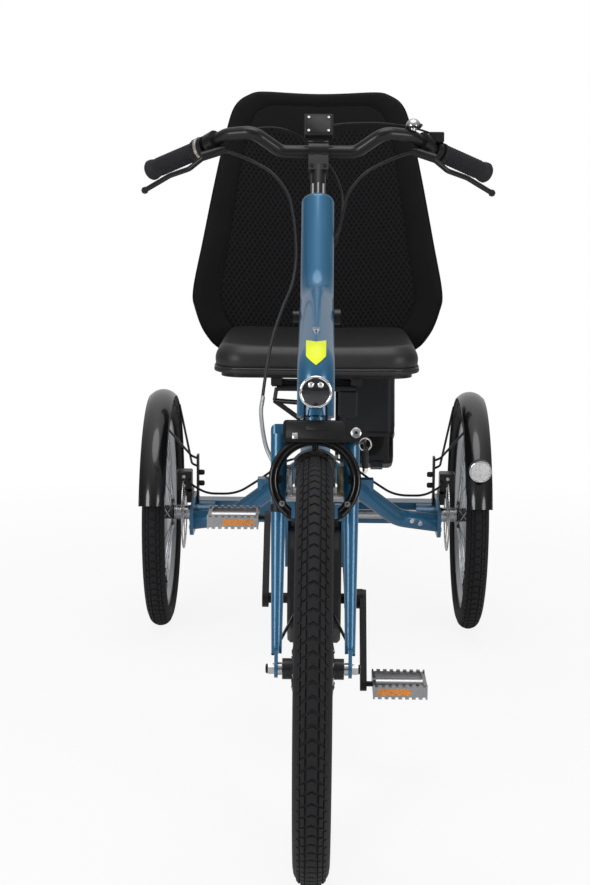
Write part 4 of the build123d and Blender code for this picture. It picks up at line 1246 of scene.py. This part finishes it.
# Front brakes: bright plate on one side, olive on the other; a black clip on the left leg
def buildFrontHardware():
    padY = 0.088
    padZ = frontRadius + math.sqrt(0.2525 ** 2 - padY ** 2)
    face, up = leaning(16)
    head = [(0.0045, 0), (0.0045, 0.0026), (0.0036, 0.0034), (0.0018, 0.0034), (0.0017, 0.001)]
    for side, name, look in ((-1, "Left", "brushedSteel"), (1, "Right", "oliveAlloy")):
        centre = at(side * 0.040, padY - 0.002, padZ + 0.020)
        bm = bmesh.new()
        plateOn(bm, planeAt(centre, up, face, 0.0028), (0.0078, 0.0225), 0.0018, 0.003)
        for shift in (0.012, -0.012):
            turn(bm, centre + up * shift + face * 0.004, face, head, 18)
        finishPiece("brakePlate" + name, bm, look, "steering")
    low, top = at(-0.0525, 0.006, 0.324), at(-0.0525, 0.097, 0.626)
    run = (top - low).normalized()
    length = (top - low).length
    along = length * 0.66
    radius = 0.0075 + (0.0125 - 0.0075) * along / length
    clip = [(radius + 0.0002, 0), (radius + 0.0014, 0.001), (radius + 0.0014, 0.011),
            (radius + 0.0002, 0.012)]
    onePiece("legClip", "blackPlastic", "steering", "black_plastic", turn, low + run * (along - 0.006), run,
             clip, 28)
    bm = bmesh.new()
    for side in (-1, 1):
        turn(bm, at(side * 0.0635, 0, frontRadius), (side, 0, 0),
             [(0.0068, 0), (0.0068, 0.0034), (0.005, 0.0044), (0, 0.0046)], 20)
    finishPiece("axleCaps", bm, "plainCable", "front_wheel")


buildFrontHardware()


# Key ring and tip, lever ends, grey sleeve on the front hose, and rubber knobs on the mudguard straps
def buildOddments():
    bm = bmesh.new()
    wire(bm, circle(at(0.070, 0.002, 0.6285), Vector((0.3, -1, 0)), 0.0085, 32), 0.0012, 8, True)
    turn(bm, at(0.070, 0.003, 0.5965), (0, 0, -1), [(0.0036, 0), (0.0036, 0.006), (0.0020, 0.009),
            (0, 0.0095)], 16)
    finishPiece("keyRing", bm, "chromePlate", "steering")
    bm = bmesh.new()
    for side in (-1, 1):
        turn(bm, at(side * 0.3047, 0.6798, 0.9658) - Vector((0, 0, 0.0066)), (0, 0, 1),
             [(0, 0), (0.0046, 0.0018), (0.0066, 0.0066), (0.0046, 0.0114), (0, 0.0132)], 20)
    finishPiece("leverEnds", bm, "satinBlack", "steering")
    sleeve = smoothPath([at(*p) for p in ((-0.0795, 0.190, 0.668), (-0.0812, 0.162, 0.646),
                                          (-0.073, 0.131, 0.604), (-0.057, 0.1135, 0.5745))], 8)
    onePiece("hoseSleeve", "greyTrim", "steering", "alloy", wire, sleeve, 0.0033, 10)
    bm = bmesh.new()
    for side in (-1, 1):
        for z in (0.316, 0.340):
            turn(bm, at(side * 0.2575, wheelbase, z), (-side, 0, 0),
                 [(0.0052, 0), (0.0060, 0.002), (0.0060, 0.010), (0.0040, 0.0125), (0, 0.013)], 18)
    finishPiece("strapKnobs", bm, "gripRubber", "frame")


buildOddments()
print("small pieces done")


# Camera at the photograph's place, floor, backdrop and soft light
def studio():
    scene = bpy.context.scene
    scene.view_settings.view_transform = "Standard"
    eye = {"place": (0.003, -2.357, 1.018), "pitch": 9.33, "roll": 0.44, "yaw": -0.76,
           "lens": 1711 / 885 * 36}
    pitch, roll, yaw = (math.radians(eye[k]) for k in ("pitch", "roll", "yaw"))
    forward = Vector((math.sin(yaw) * math.cos(pitch), math.cos(yaw) * math.cos(pitch), -math.sin(pitch)))
    level = Vector((math.cos(yaw), -math.sin(yaw), 0))
    rise = level.cross(forward)
    right = level * math.cos(roll) + rise * math.sin(roll)
    up = rise * math.cos(roll) - level * math.sin(roll)
    data = bpy.data.cameras.new("camera")
    data.lens = eye["lens"]
    data.sensor_width = 36
    data.clip_end = 60
    camera = bpy.data.objects.new("camera", data)
    scene.collection.objects.link(camera)
    place = at(*eye["place"])
    camera.matrix_world = Matrix(((right.x, up.x, -forward.x, place.x), (right.y, up.y, -forward.y, place.y),
                                  (right.z, up.z, -forward.z, place.z), (0, 0, 0, 1)))
    scene.camera = camera

    floor = Finish("studioFloor", "ShaderNodeMixShader")
    diffuse = floor.add("ShaderNodeBsdfDiffuse", sockets={"Color": (0.9, 0.9, 0.9, 1)})
    across, along = floor.split(floor.place())[:2]
    far = across.maths("MINIMUM", (across * across + along * along) * 0.16, 1.0)
    glow = floor.add("ShaderNodeEmission", sockets={"Color": (1, 1, 1, 1), "Strength": 1.0})
    seen = floor.add("ShaderNodeLightPath", out="Is Camera Ray")
    floor.put(floor.shader, {0: seen * (far * 0.14 + 0.86), 1: diffuse, 2: glow})
    bm = bmesh.new()
    bm.faces.new([bm.verts.new(p) for p in ((-14, -14, 0), (14, -14, 0), (14, 14, 0), (-14, 14, 0))])
    mesh = bpy.data.meshes.new("floor")
    bm.to_mesh(mesh)
    bm.free()
    ground = addObject("floor", mesh)
    mesh.materials.append(floor.material)

    world = bpy.data.worlds.new("studio")
    scene.world = world
    world.use_nodes = True
    tree = world.node_tree
    tree.nodes.clear()
    path = tree.nodes.new("ShaderNodeLightPath")
    camera = Wire(tree, path.outputs["Is Camera Ray"])
    mirror = Wire(tree, path.outputs["Is Glossy Ray"]).larger(Wire(tree, path.outputs["Is Transmission Ray"]))
    # reflections see a white tent overhead and a grey one level with the eye
    where = tree.nodes.new("ShaderNodeTexCoord")
    height = tree.nodes.new("ShaderNodeSeparateXYZ")
    tree.links.new(where.outputs["Generated"], height.inputs[0])
    rise = Wire(tree, height.outputs[2])
    behind = Wire(tree, height.outputs[1]).larger(0.0)
    tent = rise.maths("MINIMUM", (rise * rise) * 0.9 + (behind * behind) * 0.42 + 0.11, 1.0)
    soft = mirror * tent + (mirror * -1.0 + 1.0) * 0.42
    back = tree.nodes.new("ShaderNodeBackground")
    back.inputs[0].default_value = (1, 1, 1, 1)
    strength = camera + (camera * -1.0 + 1.0) * soft
    tree.links.new(strength.out, back.inputs[1])
    out = tree.nodes.new("ShaderNodeOutputWorld")
    tree.links.new(back.outputs[0], out.inputs[0])

    lamps = {"key": ((-2.3, -2.0, 1.5), 1.5, 46.0), "fill": ((2.4, -1.9, 1.2), 1.5, 36.0),
             "top": ((0.0, 0.4, 3.2), 2.0, 26.0)}
    for name, (spot, size, power) in lamps.items():
        light = bpy.data.lights.new(name, "AREA")
        light.shape = "DISK"
        light.size = size
        light.energy = power
        lamp = bpy.data.objects.new(name, light)
        scene.collection.objects.link(lamp)
        lamp.location = at(*spot)
        lamp.rotation_euler = (at(0, 0.6, 0.6) - lamp.location).to_track_quat("-Z", "Y").to_euler()


studio()
print("studio done")
